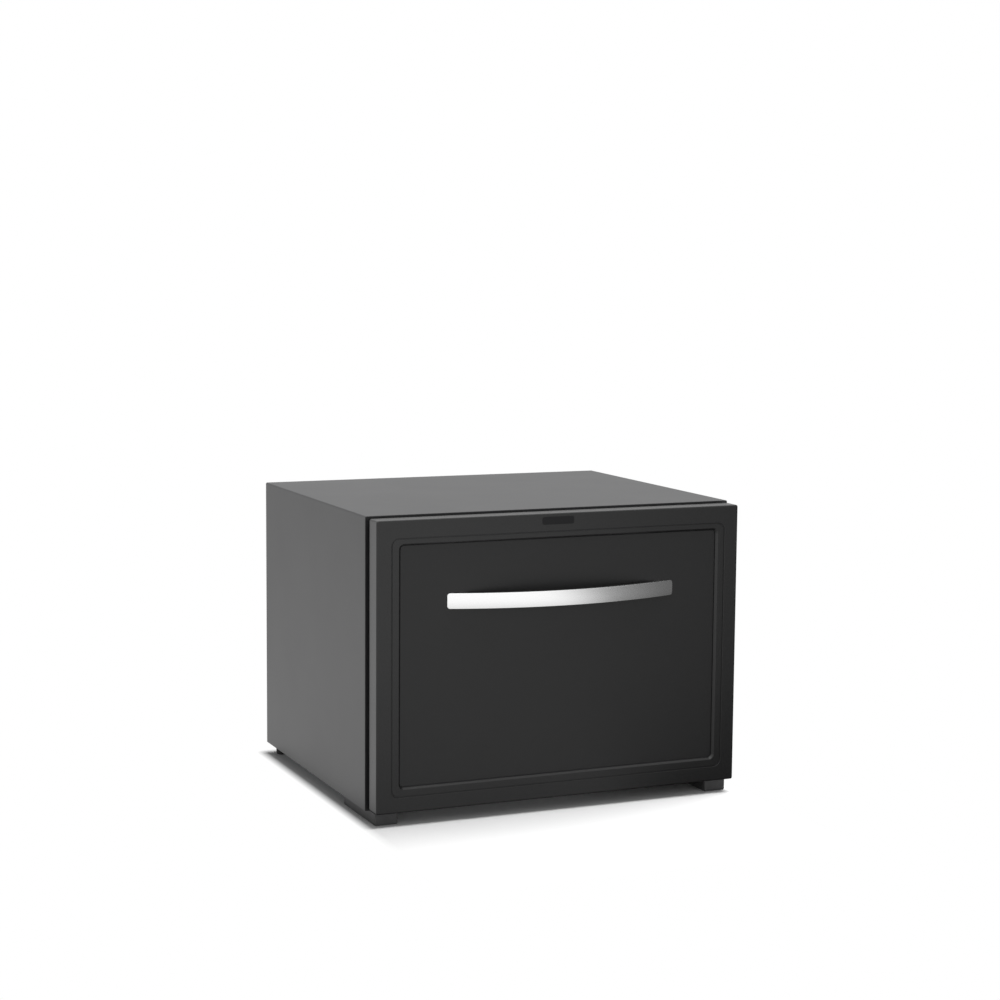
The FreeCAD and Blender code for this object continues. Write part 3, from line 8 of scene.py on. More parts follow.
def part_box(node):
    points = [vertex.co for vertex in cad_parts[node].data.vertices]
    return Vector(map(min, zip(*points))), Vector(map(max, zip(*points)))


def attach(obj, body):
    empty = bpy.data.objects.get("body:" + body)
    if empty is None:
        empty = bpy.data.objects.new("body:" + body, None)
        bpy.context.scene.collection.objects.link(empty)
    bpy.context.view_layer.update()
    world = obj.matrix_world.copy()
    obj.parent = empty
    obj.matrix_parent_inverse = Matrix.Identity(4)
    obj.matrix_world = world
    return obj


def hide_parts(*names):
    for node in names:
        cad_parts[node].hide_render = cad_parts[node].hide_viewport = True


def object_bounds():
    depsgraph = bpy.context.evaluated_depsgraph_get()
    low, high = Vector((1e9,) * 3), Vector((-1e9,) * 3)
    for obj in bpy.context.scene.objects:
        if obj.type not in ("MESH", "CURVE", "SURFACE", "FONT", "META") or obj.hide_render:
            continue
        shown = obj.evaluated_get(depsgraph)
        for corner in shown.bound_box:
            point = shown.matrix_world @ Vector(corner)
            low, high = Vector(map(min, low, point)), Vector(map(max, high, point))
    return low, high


bl_info = {
    "name": "Drawer minibar",
    "version": (1, 0, 0),
    "blender": (4, 5, 0),
    "location": "3D View > Sidebar > Minibar",
    "description": "Dresses the packed solids of a drawer minibar with finishes, mouldings and a studio",
    "category": "Object",
}

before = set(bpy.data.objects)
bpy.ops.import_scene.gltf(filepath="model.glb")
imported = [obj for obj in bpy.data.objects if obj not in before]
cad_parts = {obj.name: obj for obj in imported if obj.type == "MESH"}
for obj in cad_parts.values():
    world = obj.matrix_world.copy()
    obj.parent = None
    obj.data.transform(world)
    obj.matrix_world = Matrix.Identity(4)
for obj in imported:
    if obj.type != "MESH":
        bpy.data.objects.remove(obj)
CAD_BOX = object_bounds()
MM = 0.001
X, Y, Z = range(3)


# ---- places read from the solids
class Box:
    """A box between two corners."""

    def __init__(self, low, high):
        self.low = Vector(low)
        self.high = Vector(high)
        self.middle = (self.low + self.high) / 2
        self.size = self.high - self.low

    def grown(self, amount):
        """The same box, larger on its four sides in X and Z."""
        reach = Vector((amount, 0, amount))
        return Box(self.low - reach, self.high + reach)


def place(node):
    """The box of a node at rest."""
    return Box(*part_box(node))


FRONT = place("front_frame")
PANEL = place("decor_panel")
BEZEL = place("panel_bezel")
HANDLE = place("handle")
BADGE = place("badge_plate")
SEAL = place("gasket")
KNOB = place("thermostat_knob")
LENS = place("lamp_lens")
JACKET = place("boiler_jacket")
VESSEL = place("absorber_vessel")

# drawer front
FACE_Y = FRONT.low.y
PANEL_Y = PANEL.low.y
SEAT_Y = PANEL.high.y       # the panel's back, where the frame's hollow begins
FRONT_CORNER = 3.0 * MM
FRONT_WALL = 3.0 * MM
GROOVE = 1.0 * MM           # between the frame and the bezel
GROOVE_CORNER = 11.0 * MM
GROOVE_DEPTH = 1.0 * MM
GROOVE_EDGE = 0.8 * MM      # softened edges beside the groove
BEZEL_CORNER = GROOVE_CORNER - GROOVE
ROLL_PROFILE = 0.31         # the bezel's inner edge is a slope with soft ends
PANEL_TUCK = 8.0 * MM       # the panel's border that the bezel hides
PANEL_CORNER = 5.0 * MM
PANEL_PLAY = 0.3 * MM
SEAL_WIDTH = 16.0 * MM
SEAL_ROWS = (               # start and end in depth, outer and inner edge in width, as shares
    (0.00, 0.32, 0.00, 1.00), (0.30, 0.44, 0.32, 0.68), (0.42, 0.50, 0.10, 0.90),
    (0.48, 0.62, 0.34, 0.66), (0.60, 0.70, 0.12, 0.88), (0.68, 1.00, 0.00, 1.00))
DRAWER_TRAVEL = 300.0 * MM

# handle
HANDLE_STRAP = 7.5 * MM     # thickness in the middle
HANDLE_TIP_Y = PANEL_Y - 2.0 * MM
HANDLE_PAD = 24.0 * MM      # length of each end that lies on the panel
HANDLE_END = 4.0 * MM       # rounding of the ends
HANDLE_SWELL = 0.7 * MM     # faint convexity of the front
BOW_SIDES = 720

# cold space and feet
LENS_RIBS = 22
RIB_MARGIN = 2.0 * MM
POINTER_RISE = 1.4 * MM
POINTER_HALF = 0.9 * MM
GRIP_DEPTH = 11.0 * MM
MARK_REACHES = (11.2, 12.0, 12.0, 12.0, 12.0, 12.0, 12.6)   # mm from the knob's axis, every 45 degrees
FOOT_TOP = place("outer_shell").low.z
SOLE = 1.3 * MM

# cooling unit
BEND = 2.5                  # bend radius of a tube as a multiple of its own
JACKET_ROUND = 14.0 * MM
BAND_RISE = 0.6 * MM
BOILER_STUB = 11.0 * MM
CONDENSER_RADIUS = 8.0 * MM
CONDENSER_FALL = 8.0 * MM
GAS_RADIUS = 11.0 * MM
COIL_RADIUS = 7.0 * MM
COIL_PASSES = 4
COIL_RISE = 34.0 * MM
COIL_BEND = 19.6 * MM
COIL_FROM_VESSEL = 55.0 * MM
COIL_FROM_JACKET = 93.0 * MM
GLAND_BORE = 3.7 * MM

# studio
KEY_PLACE = Vector((0.9, -0.3, 2.6))
KEY_SIZE = 1.9
KEY_AIM = Vector((0, 0, 0.2))
CAMERA_PLACE = Vector((-1.2825, -2.9438, 0.7983))
CAMERA_RIGHT = Vector((0.91684, -0.39917, 0.00814))
CAMERA_UP = Vector((0.03893, 0.10967, 0.99321))
CAMERA_AHEAD = Vector((0.39736, 0.91029, -0.11608))
CAMERA_LENS = 76.9
FLOOR_SPAN = 16
# The floor's glow in reflections carries painted shade: it is darker close to the object, most in front of
# it, and darkest in a thin painted shadow line round its footprint.
PAINTED_SHADE_BEFORE = (-0.3, 0.0)  # painted shade: depths from the darker tone of the floor close by, in reflections, to the tone beside the object
PAINTED_SHADE_BESIDE = 0.9
PAINTED_SHADE_AWAY = (0.3, 1.6)     # painted shade: distances over which the floor in reflections brightens from its darker near tone to the room's tone
PAINTED_SHADOW_REACH = 0.04        # painted shadow: the dark line round the object in the floor's reflection
PAINTED_SHADOW_TONE = 0.1
# degrees to the right of straight ahead between which the room's tone changes, and by how much
ROOM_TURNS = ((19, 37, -0.74), (37, 60, -0.15), (112, 148, 0.54), (-148, -168, -0.35))
SOFT_ABOVE = (0.3, 0.9)     # rise of a direction over which the soft light comes in
SOFT_AHEAD = (-0.4, -0.9)
CEILING_RISE = (0.5, 0.95)


# ---- mesh making
def deselect():
    """Leaves nothing selected and no object in edit mode."""
    if bpy.context.object and bpy.context.object.mode != "OBJECT":
        bpy.ops.object.mode_set(mode="OBJECT")
    bpy.ops.object.select_all(action="DESELECT")


def only(piece):
    """Selects one piece and makes it active."""
    deselect()
    piece.select_set(True)
    bpy.context.view_layer.objects.active = piece
    return piece


def settled(piece, name):
    """Names a piece and puts its place, turn and size into its mesh."""
    only(piece)
    bpy.ops.object.transform_apply(location=True, rotation=True, scale=True)
    piece.name = piece.data.name = name
    return piece


def block(name, low, high):
    """A box between two corners."""
    deselect()
    low, high = Vector(low), Vector(high)
    bpy.ops.mesh.primitive_cube_add(size=1, location=(low + high) / 2)
    piece = bpy.context.object
    piece.scale = high - low
    return settled(piece, name)


def drum(name, radius, centre, axis, start, end, sides=48):
    """A round bar along one axis through a point, between two places on that axis."""
    deselect()
    first, last = Vector(centre), Vector(centre)
    first[axis], last[axis] = start, end
    turn = (last - first).to_track_quat("Z", "Y").to_euler()
    bpy.ops.mesh.primitive_cylinder_add(vertices=sides, radius=radius, depth=(last - first).length,
                                        location=(first + last) / 2, rotation=turn)
    return settled(bpy.context.object, name)


def open_whole(piece):
    """Opens a piece in edit mode with all of it selected."""
    only(piece)
    bpy.ops.object.mode_set(mode="EDIT")
    bpy.ops.mesh.select_mode(type="FACE")
    bpy.ops.mesh.select_all(action="SELECT")


def pick(piece, kind, test):
    """Opens a piece in edit mode with the faces, edges or vertices that pass a test selected."""
    only(piece)
    bpy.ops.object.mode_set(mode="EDIT")
    bpy.ops.mesh.select_mode(type=kind)
    bpy.ops.mesh.select_all(action="DESELECT")
    bpy.ops.object.mode_set(mode="OBJECT")
    mesh = piece.data
    parts, facts = {
        "FACE": (mesh.polygons, lambda face: (face.center, face.normal)),
        "EDGE": (mesh.edges, lambda edge: [mesh.vertices[index].co for index in edge.vertices]),
        "VERT": (mesh.vertices, lambda vert: [vert.co]),
    }[kind]
    for part in parts:
        part.select = bool(test(*facts(part)))
    if not any(part.select for part in parts):
        raise RuntimeError(f"{piece.name}: nothing selected")
    bpy.ops.object.mode_set(mode="EDIT")


def close_edit(piece):
    """Leaves edit mode."""
    bpy.ops.object.mode_set(mode="OBJECT")
    return piece


def round_edges(piece, test, radius, steps=5, profile=0.5):
    """Rounds the edges that pass a test of their two ends. Profile 0.5 is an arc, 0.25 a flat slope."""
    pick(piece, "EDGE", test)
    bpy.ops.mesh.bevel(offset=radius, segments=steps, profile=profile, affect="EDGES")
    return close_edit(piece)


def along(axis, limit=1e-5):
    """Test for edges that run along one axis."""
    others = [index for index in (X, Y, Z) if index != axis]
    return lambda a, b: all(abs(a[index] - b[index]) < limit for index in others)


def at(axis, *spots, limit=1e-6):
    """Test for edges that lie across one axis at one of some spots."""
    return lambda a, b: any(max(abs(a[axis] - spot), abs(b[axis] - spot)) < limit for spot in spots)


def on_rim(box, y, corner, limit=2e-5):
    """Test for edges at one depth whose ends lie on a box's four sides or on its round corners."""
    low, high = box.low, box.high

    def outside(point):
        if abs(point.y - y) > limit:
            return False
        reach = min(point.x - low.x, high.x - point.x, point.z - low.z, high.z - point.z)
        away = min(max(abs(point.x - x), abs(point.z - z)) for x in (low.x, high.x) for z in (low.z, high.z))
        return abs(reach) < limit or (away < corner + limit and -limit < reach < corner)
    return lambda a, b: outside(a) and outside(b)


def slab(name, box, corner=0, steps=8, depth=None):
    """A plate facing Y over a box's outline with round corners, as deep as the box or between two depths."""
    front, back = depth or (box.low.y, box.high.y)
    piece = block(name, (box.low.x, front, box.low.z), (box.high.x, back, box.high.z))
    return round_edges(piece, along(Y), corner, steps) if corner else piece


def apply_modifier(piece, kind, **settings):
    """Adds one modifier and applies it."""
    only(piece)
    modifier = piece.modifiers.new("shape", kind)
    for key, value in settings.items():
        setattr(modifier, key, value)
    bpy.ops.object.modifier_apply(modifier=modifier.name)
    return piece


def carve(piece, *cutters, operation="DIFFERENCE"):
    """Cuts or crosses a piece with others, which are used up."""
    for cutter in cutters:
        apply_modifier(piece, "BOOLEAN", operation=operation, object=cutter, solver="EXACT")
        bpy.data.objects.remove(cutter)
    return piece


def soften(piece, width, steps=2, angle=30):
    """Breaks the sharp edges of a piece."""
    return apply_modifier(piece, "BEVEL", width=width, segments=steps, limit_method="ANGLE",
                          angle_limit=math.radians(angle), use_clamp_overlap=True)


def pillar(name, low, high, corner, steps, edge, edge_steps=2, angle=30):
    """A block with round upright edges and softened rims."""
    piece = round_edges(block(name, low, high), along(Z), corner, steps)
    return soften(piece, edge, edge_steps, angle)


def smooth(piece, angle=35):
    """Shades a piece smooth where its faces meet at a small angle."""
    only(piece)
    bpy.ops.object.shade_smooth_by_angle(angle=math.radians(angle))
    return apply_modifier(piece, "WEIGHTED_NORMAL", keep_sharp=True)


def copied(piece, name, move, turn=(0, 0, 0)):
    """A turned and moved copy with its own mesh."""
    deselect()
    twin = piece.copy()
    twin.data = piece.data.copy()
    bpy.context.collection.objects.link(twin)
    twin.rotation_euler = turn
    twin.location = move
    return settled(twin, name)


def joined(name, pieces):
    """One piece from several."""
    deselect()
    for piece in pieces:
        piece.select_set(True)
    bpy.context.view_layer.objects.active = pieces[0]
    bpy.ops.object.join()
    pieces[0].name = name
    return pieces[0]


def extend(move):
    """Extrudes the selected face by a move, unless it is nothing."""
    if move.length > 1e-5:
        bpy.ops.mesh.extrude_region_move(TRANSFORM_OT_translate={"value": move})


def tube(name, radius, points, bends=None, sides=24, steps=10):
    """A round tube drawn along straight runs and tangent bends by extrude and spin."""
    points = [Vector(point) for point in points]
    bends = bends or [radius * BEND] * (len(points) - 2)
    start = points[0]
    deselect()
    turn = (points[1] - start).to_track_quat("Z", "Y").to_euler()
    bpy.ops.mesh.primitive_circle_add(vertices=sides, radius=radius, fill_type="NGON",
                                      location=start, rotation=turn)
    piece = settled(bpy.context.object, name)
    open_whole(piece)
    for before, corner, after, bend in zip(points, points[1:], points[2:], bends):
        inward = (corner - before).normalized()
        outward = (after - corner).normalized()
        angle = inward.angle(outward)
        entry = corner - inward * bend * math.tan(angle / 2)
        extend(entry - start)
        axis = inward.cross(outward).normalized()
        centre = entry + axis.cross(inward) * bend
        bpy.ops.mesh.spin(steps=max(2, round(steps * angle / (math.pi / 2))), angle=-angle,
                          center=centre, axis=axis)
        start = corner + outward * bend * math.tan(angle / 2)
    extend(points[-1] - start)
    bpy.ops.mesh.select_all(action="SELECT")
    bpy.ops.mesh.remove_doubles(threshold=1e-6)
    bpy.ops.mesh.normals_make_consistent(inside=False)
    return smooth(close_edit(piece), 40)


def merged(node, name):
    """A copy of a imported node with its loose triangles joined."""
    piece = bpy.data.objects.new(name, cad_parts[node].data.copy())
    bpy.context.collection.objects.link(piece)
    open_whole(piece)
    bpy.ops.mesh.remove_doubles(threshold=1e-6)
    bpy.ops.mesh.dissolve_limited(angle_limit=math.radians(0.5))
    return close_edit(piece)


def solids_of(node):
    """The box of each separate solid of a node."""
    only(merged(node, "loose"))
    bpy.ops.mesh.separate(type="LOOSE")
    boxes = []
    for part in list(bpy.context.selected_objects):
        corners = [vert.co for vert in part.data.vertices]
        boxes.append(Box(*([end(co[axis] for co in corners) for axis in (X, Y, Z)] for end in (min, max))))
        bpy.data.objects.remove(part)
    return boxes


def dress(piece, body, material, *nodes, slot=None):
    """Gives a piece its material and its body, and lets it stand for nodes, which it hides; its slot argument
    is not used.
    """
    piece.data.materials.clear()
    piece.data.materials.append(material)
    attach(piece, body)
    if nodes:
        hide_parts(*nodes)


def refine(material, body, *nodes, edge=0.0):
    """Stands softened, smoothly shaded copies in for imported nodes."""
    for node in nodes:
        piece = merged(node, f"{node}_finish")
        if edge:
            soften(piece, edge, 2, 50)
        dress(smooth(piece, 40), body, material, node)


def finish_nodes(material, *nodes):
    """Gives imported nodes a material."""
    for name in nodes:
        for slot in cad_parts[name].material_slots:
            slot.material = material


# ---- material making
class Wire:
    """A socket that plain arithmetic turns into Math nodes."""

    def __init__(self, finish, socket):
        self.finish = finish
        self.socket = socket

    def __add__(self, other):
        return self.finish.math("ADD", self, other)

    __radd__ = __add__

    def __sub__(self, other):
        return self.finish.math("SUBTRACT", self, other)

    def __rsub__(self, other):
        return self.finish.math("SUBTRACT", other, self)

    def __mul__(self, other):
        return self.finish.math("MULTIPLY", self, other)

    __rmul__ = __mul__

    def __pow__(self, other):
        return self.finish.math("POWER", self, other)


class Finish:
    """A node material: its shader, its object coordinates and its pattern nodes."""

    def __init__(self, name, colour, rough, metal=0.0, coat=0.0):
        self.material = bpy.data.materials.new(name)
        self.material.use_nodes = True
        self.tree = self.material.node_tree
        self.shader = self.tree.nodes["Principled BSDF"]
        self.colour = colour
        self.rough = rough
        self.put("Base Color", (*colour, 1.0))
        self.put("Roughness", rough)
        self.put("Metallic", metal)
        self.put("Coat Weight", coat)
        self.coordinates = self.node("ShaderNodeTexCoord", {}, {}, "Object")

    @classmethod
    def of_world(cls, world):
        """The same node tools for the surroundings, where the coordinates are a direction."""
        finish = cls.__new__(cls)
        finish.tree = world.node_tree
        finish.coordinates = finish.node("ShaderNodeTexCoord", {}, {}, "Generated")
        return finish

    def put(self, socket, value):
        """Sets or links one socket of the shader."""
        self.join(self.shader.inputs[socket], value)

    def join(self, socket, value):
        """Sets a socket to a value or links it to a wire."""
        if isinstance(value, Wire):
            self.tree.links.new(value.socket, socket)
        else:
            socket.default_value = value

    def node(self, kind, settings, values, output=0):
        """Any node: its settings first, then the values or links of its sockets."""
        node = self.tree.nodes.new(kind)
        for key, value in settings.items():
            setattr(node, key, value)
        for key, value in values.items() if isinstance(values, dict) else enumerate(values):
            self.join(node.inputs[key], value)
        return Wire(self, node.outputs[output])

    def math(self, operation, *values):
        """A Math node."""
        return self.node("ShaderNodeMath", {"operation": operation}, values)

    def axes(self):
        """The three parts of the coordinates."""
        split = self.node("ShaderNodeSeparateXYZ", {}, [self.coordinates]).socket.node
        return [Wire(self, socket) for socket in split.outputs]

    def rays(self):
        """Whether a surface is seen by the camera, and whether it is seen in a reflection."""
        path = self.tree.nodes.new("ShaderNodeLightPath")
        return [Wire(self, path.outputs[f"Is {kind} Ray"]) for kind in ("Camera", "Glossy")]

    def noise(self, scale, detail=2.0, rough=0.5, where=None):
        """Cloudy noise from 0 to 1, with features of about 1 / scale metres."""
        return self.node("ShaderNodeTexNoise", {}, {"Vector": where or self.coordinates, "Scale": scale,
                                                    "Detail": detail, "Roughness": rough})

    def cells(self, scale, output="Distance"):
        """Cell pattern, as the distance from the cells' middles or as a colour for each cell."""
        return self.node("ShaderNodeTexVoronoi", {}, {"Vector": self.coordinates, "Scale": scale}, output)

    def stretch(self, wire, low, high, to_low=0.0, to_high=1.0):
        """Maps a range of values to another, clamped."""
        return self.node("ShaderNodeMapRange", {"clamp": True}, [wire, low, high, to_low, to_high])

    def tinted(self, mask, first, second):
        """Varies the colour by a mask between two tints of it."""
        blend = self.tree.nodes.new("ShaderNodeMix")
        blend.data_type = "RGBA"
        mask_socket, first_socket, second_socket = (blend.inputs[index] for index in (0, 6, 7))
        self.join(mask_socket, mask)
        self.join(first_socket, (*tint(self.colour, first), 1.0))
        self.join(second_socket, (*tint(self.colour, second), 1.0))
        self.put("Base Color", Wire(self, blend.outputs[2]))

    def glossed(self, mask, less, more, start=0.3, end=0.7):
        """Varies the roughness by a mask between two changes of it."""
        self.put("Roughness", self.stretch(mask, start, end, self.rough + less, self.rough + more))

    def bump(self, height, depth, strength=1.0):
        """Surface relief, with depth in metres."""
        self.put("Normal", self.node("ShaderNodeBump", {}, {"Height": height, "Distance": depth,
                                                            "Strength": strength}))
        return self.material


def tint(colour, factor):
    """A colour made lighter or darker."""
    return tuple(min(1.0, channel * factor) for channel in colour)


def painted_steel(name, colour, rough):
    """Baked paint on sheet steel: a fine orange peel and a faintly clouded gloss."""
    finish = Finish(name, colour, rough)
    clouds = finish.noise(9.0, 3.0)
    finish.tinted(clouds, 0.95, 1.06)
    finish.glossed(clouds, -0.008, 0.008)
    return finish.bump(finish.noise(650.0), 0.02 * MM, 0.5)


def grained_plastic(name, colour, rough, grain=900.0, depth=0.03 * MM):
    """Moulded plastic with a spark-eroded grain."""
    finish = Finish(name, colour, rough)
    fine = finish.noise(grain * 1.7)
    finish.tinted(finish.noise(14.0), 0.92, 1.08)
    finish.glossed(fine, -0.03, 0.03)
    return finish.bump(finish.cells(grain) * 0.7 + fine * 0.3, depth, 0.4)


def gloss_plastic(name, colour, rough, coat=0.3):
    """Vacuum-formed or moulded plastic with a soft waviness."""
    finish = Finish(name, colour, rough, coat=coat)
    finish.tinted(finish.noise(11.0), 0.97, 1.02)
    finish.glossed(finish.noise(240.0), 0.0, 0.03)
    return finish.bump(finish.noise(30.0, 1.0), 0.1 * MM, 0.15)


def brushed_metal(name, colour, rough, grain_axis=X):
    """Metal brushed along one axis: long fine scratches in gloss and relief."""
    finish = Finish(name, colour, rough, metal=1.0)
    scale = [900.0, 900.0, 900.0]
    scale[grain_axis] = 4.0
    drawn = finish.node("ShaderNodeMapping", {}, {"Vector": finish.coordinates, "Scale": scale})
    streaks = finish.noise(1.0, where=drawn)
    finish.tinted(streaks, 0.97, 1.02)
    finish.glossed(streaks, -0.02, 0.02)
    return finish.bump(streaks, 0.012 * MM, 0.08)


def zinc_sheet(name, colour, rough):
    """Galvanised sheet with its crystal spangle."""
    finish = Finish(name, colour, rough, metal=1.0)
    shade = finish.node("ShaderNodeSeparateColor", {}, [finish.cells(130.0, "Color")])
    finish.tinted(shade, 0.93, 1.04)
    finish.glossed(shade, -0.03, 0.04, 0, 1)
    return finish.bump(finish.noise(300.0), 0.01 * MM, 0.2)


def rubber(name, colour, rough):
    """Dull rubber with a dusty bloom."""
    finish = Finish(name, colour, rough)
    bloom = finish.noise(60.0, 4.0, 0.6)
    finish.tinted(bloom, 1.0, 1.5)
    finish.glossed(bloom, -0.06, 0.05)
    return finish.bump(finish.noise(1400.0), 0.02 * MM, 0.4)


def foam(name, colour):
    """Cut or moulded hard foam with fine cells."""
    finish = Finish(name, colour, 0.9)
    cells = finish.cells(700.0)
    finish.tinted(cells, 0.8, 1.0)
    return finish.bump(cells, 0.2 * MM, 0.6)


# ---- colours, sizes and light a user may change
def colour_property(name, description, value):
    """A colour field."""
    return bpy.props.FloatVectorProperty(name=name, description=description, subtype="COLOR", size=3,
                                         min=0, max=1, default=value)


def number_property(name, description, value, **kind):
    """A field for a number that isn't negative, with its unit or subtype."""
    return bpy.props.FloatProperty(name=name, description=description, min=0, default=value, **kind)


def share_property(name, description, value):
    """A number from 0 to 1."""
    return number_property(name, description, value, subtype="FACTOR", max=1)


def length_property(name, description, value):
    """A length field in metres."""
    return number_property(name, description, value, unit="LENGTH")


class MinibarColours(bpy.types.PropertyGroup):
    """Colours and gloss of the visible surfaces."""

    shell: colour_property("Cabinet paint", "Paint of the cabinet's steel wrap", (0.016, 0.016, 0.017))
    shell_rough: share_property("Paint roughness", "Roughness of the cabinet's paint", 0.36)
    front: colour_property("Front moulding", "Plastic of the drawer front's frame and bezel",
                           (0.0062, 0.0062, 0.0064))
    front_rough: share_property("Front roughness", "Roughness of the front mouldings", 0.30)
    panel: colour_property("Front panel", "Flat panel inside the bezel", (0.0062, 0.0062, 0.0064))
    panel_rough: share_property("Panel roughness", "Roughness of the front panel", 0.46)
    metal: colour_property("Handle metal", "Brushed aluminium of the handle", (0.96, 0.96, 0.96))
    metal_rough: share_property("Handle roughness", "Roughness of the handle", 0.26)
    badge: colour_property("Badge plate", "Bare plate on the upper border", (0.03, 0.03, 0.031))
    liner: colour_property("Liner plastic", "Plastic of the cold space", (0.76, 0.77, 0.77))
    bin: colour_property("Bin plastic", "Plastic of the drawer bin", (0.66, 0.69, 0.70))
    unit: colour_property("Cooling unit paint", "Paint of the tubes and the vessel", (0.015, 0.015, 0.016))


class MinibarSizes(bpy.types.PropertyGroup):
    """Small sizes of the pieces that are modelled here."""

    front_edge: length_property("Front edge", "Rounding of the drawer front's outer edge", 2.5 * MM)
    bezel_roll: length_property("Bezel slope", "Width of the slope on the bezel's inner edge", 3.5 * MM)
    handle_edge: length_property("Handle edge", "Rounding of the handle's long edges", 0.6 * MM)


class MinibarStudio(bpy.types.PropertyGroup):
    """Light and floor of the studio."""

    key: number_property("Key light", "Power of the large soft lamp", 105.0, unit="POWER")
    fill: share_property("Fill", "Brightness of the room's upper part on diffuse surfaces", 0.25)
    front: share_property("Front fill", "Brightness of the room's front on diffuse surfaces", 0.8)
    floor: share_property("Floor", "Brightness of the floor's surface", 0.88)
    shadow: length_property("Shadow reach", "Width of the floor at the object that keeps its shadow", 0.018)
    room: number_property("Room", "Brightness of the room in reflections", 1.08)
    # painted shade: the floor close by is darker in reflections
    near: share_property("Near floor", "Brightness of the floor close by, in reflections", 0.5)
    zenith: share_property("Ceiling", "Added brightness of the ceiling in reflections", 1.0)


def colours():
    """The colour settings of the scene."""
    return bpy.context.scene.minibar_colours


def sizes():
    """The size settings of the scene."""
    return bpy.context.scene.minibar_sizes


# ---- operators
class MinibarOperator:
    """What all the part's operators share."""

    bl_options = {"REGISTER", "UNDO"}

    def execute(self, context):
        self.make()
        return {"FINISHED"}


class StudioOperator(MinibarOperator, bpy.types.Operator):
    """Sets up floor, surroundings, lamp and camera"""

    bl_idname = "minibar.studio"
    bl_label = "Studio"

    def make(self):
        scene = bpy.context.scene
        scene.view_settings.view_transform = "Standard"
        self.floor(scene.minibar_studio)
        self.surroundings(scene, scene.minibar_studio)
        self.lamp(scene.minibar_studio.key)
        self.camera(scene)

    def room(self, finish, east, north):
        """Brightness of the room in reflections: bright in front and behind, dark at the right."""
        turn = finish.math("ARCTAN2", east, -1.0 * north)
        tone = 1.0
        for start, end, change in ROOM_TURNS:
            tone = tone + finish.stretch(turn, math.radians(start), math.radians(end), 0.0, change)
        return tone

    def gap(self, finish, x, y, front):
        """Distance on the floor from the rectangle that the object takes up, from a front to its back."""
        back = CAD_BOX[1][1]
        squares = []
        for spot, half in ((x, FRONT.high.x), (y - (back + front) / 2, (back - front) / 2)):
            beside = finish.math("MAXIMUM", finish.math("ABSOLUTE", spot) - half, 0.0)
            squares.append(beside * beside)
        return (squares[0] + squares[1]) ** 0.5

    def floor(self, studio):
        """A wide floor that keeps the shadow close by and runs out to plain white; in reflections it glows
        with the room's tones, darkened near the object by painted shade.
        """
        deselect()
        bpy.ops.mesh.primitive_plane_add(size=FLOOR_SPAN, location=(0, 0, 0))
        plane = settled(bpy.context.object, "studio_floor")
        finish = Finish("studio floor", (studio.floor,) * 3, 0.9)
        finish.put("Specular IOR Level", 0.0)
        x, y, _ = finish.axes()
        seen, mirrored = finish.rays()
        away = finish.node("ShaderNodeVectorMath", {"operation": "LENGTH"}, [finish.coordinates], "Value")
        # Painted shade: in reflections the floor is darker close to the object, most in front of it, with a
        # painted shadow line round its footprint.
        near = finish.stretch(y, *PAINTED_SHADE_BEFORE, studio.near, PAINTED_SHADE_BESIDE)
        tone = self.room(finish, x, y) * finish.stretch(away, *PAINTED_SHADE_AWAY, near, 1.0)
        tone = tone * finish.stretch(self.gap(finish, x, y, FACE_Y), 0.0, PAINTED_SHADOW_REACH, PAINTED_SHADOW_TONE, 1.0)
        shade = 1.0 - mirrored + mirrored * tone * studio.room
        colour = finish.node("ShaderNodeCombineColor", {}, [shade, shade, shade])
        glow = finish.node("ShaderNodeEmission", {}, {"Color": colour, "Strength": 1.0})
        reach = self.gap(finish, x, y, FACE_Y - DRAWER_TRAVEL)
        mask = finish.stretch(reach, 0.1 * studio.shadow, studio.shadow) * seen + mirrored
        surface = Wire(finish, finish.shader.outputs[0])
        finish.join(finish.tree.nodes["Material Output"].inputs["Surface"],
                    finish.node("ShaderNodeMixShader", {}, [mask, surface, glow]))
        plane.data.materials.append(finish.material)

    def surroundings(self, scene, studio):
        """A white room for the camera, the room's own tones for gloss, and soft light from above."""
        world = bpy.data.worlds.new("studio")
        scene.world = world
        world.use_nodes = True
        room = Finish.of_world(world)
        shade = world.node_tree.nodes["Background"]
        shade.inputs["Color"].default_value = (1, 1, 1, 1)
        x, y, z = room.axes()
        seen, mirrored = room.rays()
        above = room.stretch(z, *SOFT_ABOVE, 0.0, studio.fill)
        soft = above + room.stretch(y, *SOFT_AHEAD, 0.0, studio.front)
        tone = self.room(room, x, y) + room.stretch(z, *CEILING_RISE, 0.0, studio.zenith)
        lit = (1.0 - seen - mirrored) * soft
        room.join(shade.inputs["Strength"], seen + mirrored * tone * studio.room + lit)

    def lamp(self, power):
        """A square soft lamp that looks at the object and stays out of its reflections."""
        deselect()
        bpy.ops.object.light_add(type="AREA", location=KEY_PLACE)
        lamp = bpy.context.object
        lamp.name = "key_lamp"
        lamp.data.shape = "SQUARE"
        lamp.data.size = KEY_SIZE
        lamp.data.energy = power
        lamp.visible_glossy = False
        lamp.rotation_euler = (KEY_AIM - KEY_PLACE).to_track_quat("-Z", "Y").to_euler()

    def camera(self, scene):
        """A camera a little above the top, left of the middle."""
        deselect()
        bpy.ops.object.camera_add()
        camera = bpy.context.object
        camera.name = "studio_camera"
        turn = Matrix((CAMERA_RIGHT, CAMERA_UP, -CAMERA_AHEAD)).transposed()
        camera.matrix_world = Matrix.Translation(CAMERA_PLACE) @ turn.to_4x4()
        camera.data.lens = CAMERA_LENS
        camera.data.sensor_width = 36.0
        camera.data.clip_end = 100.0
        scene.camera = camera


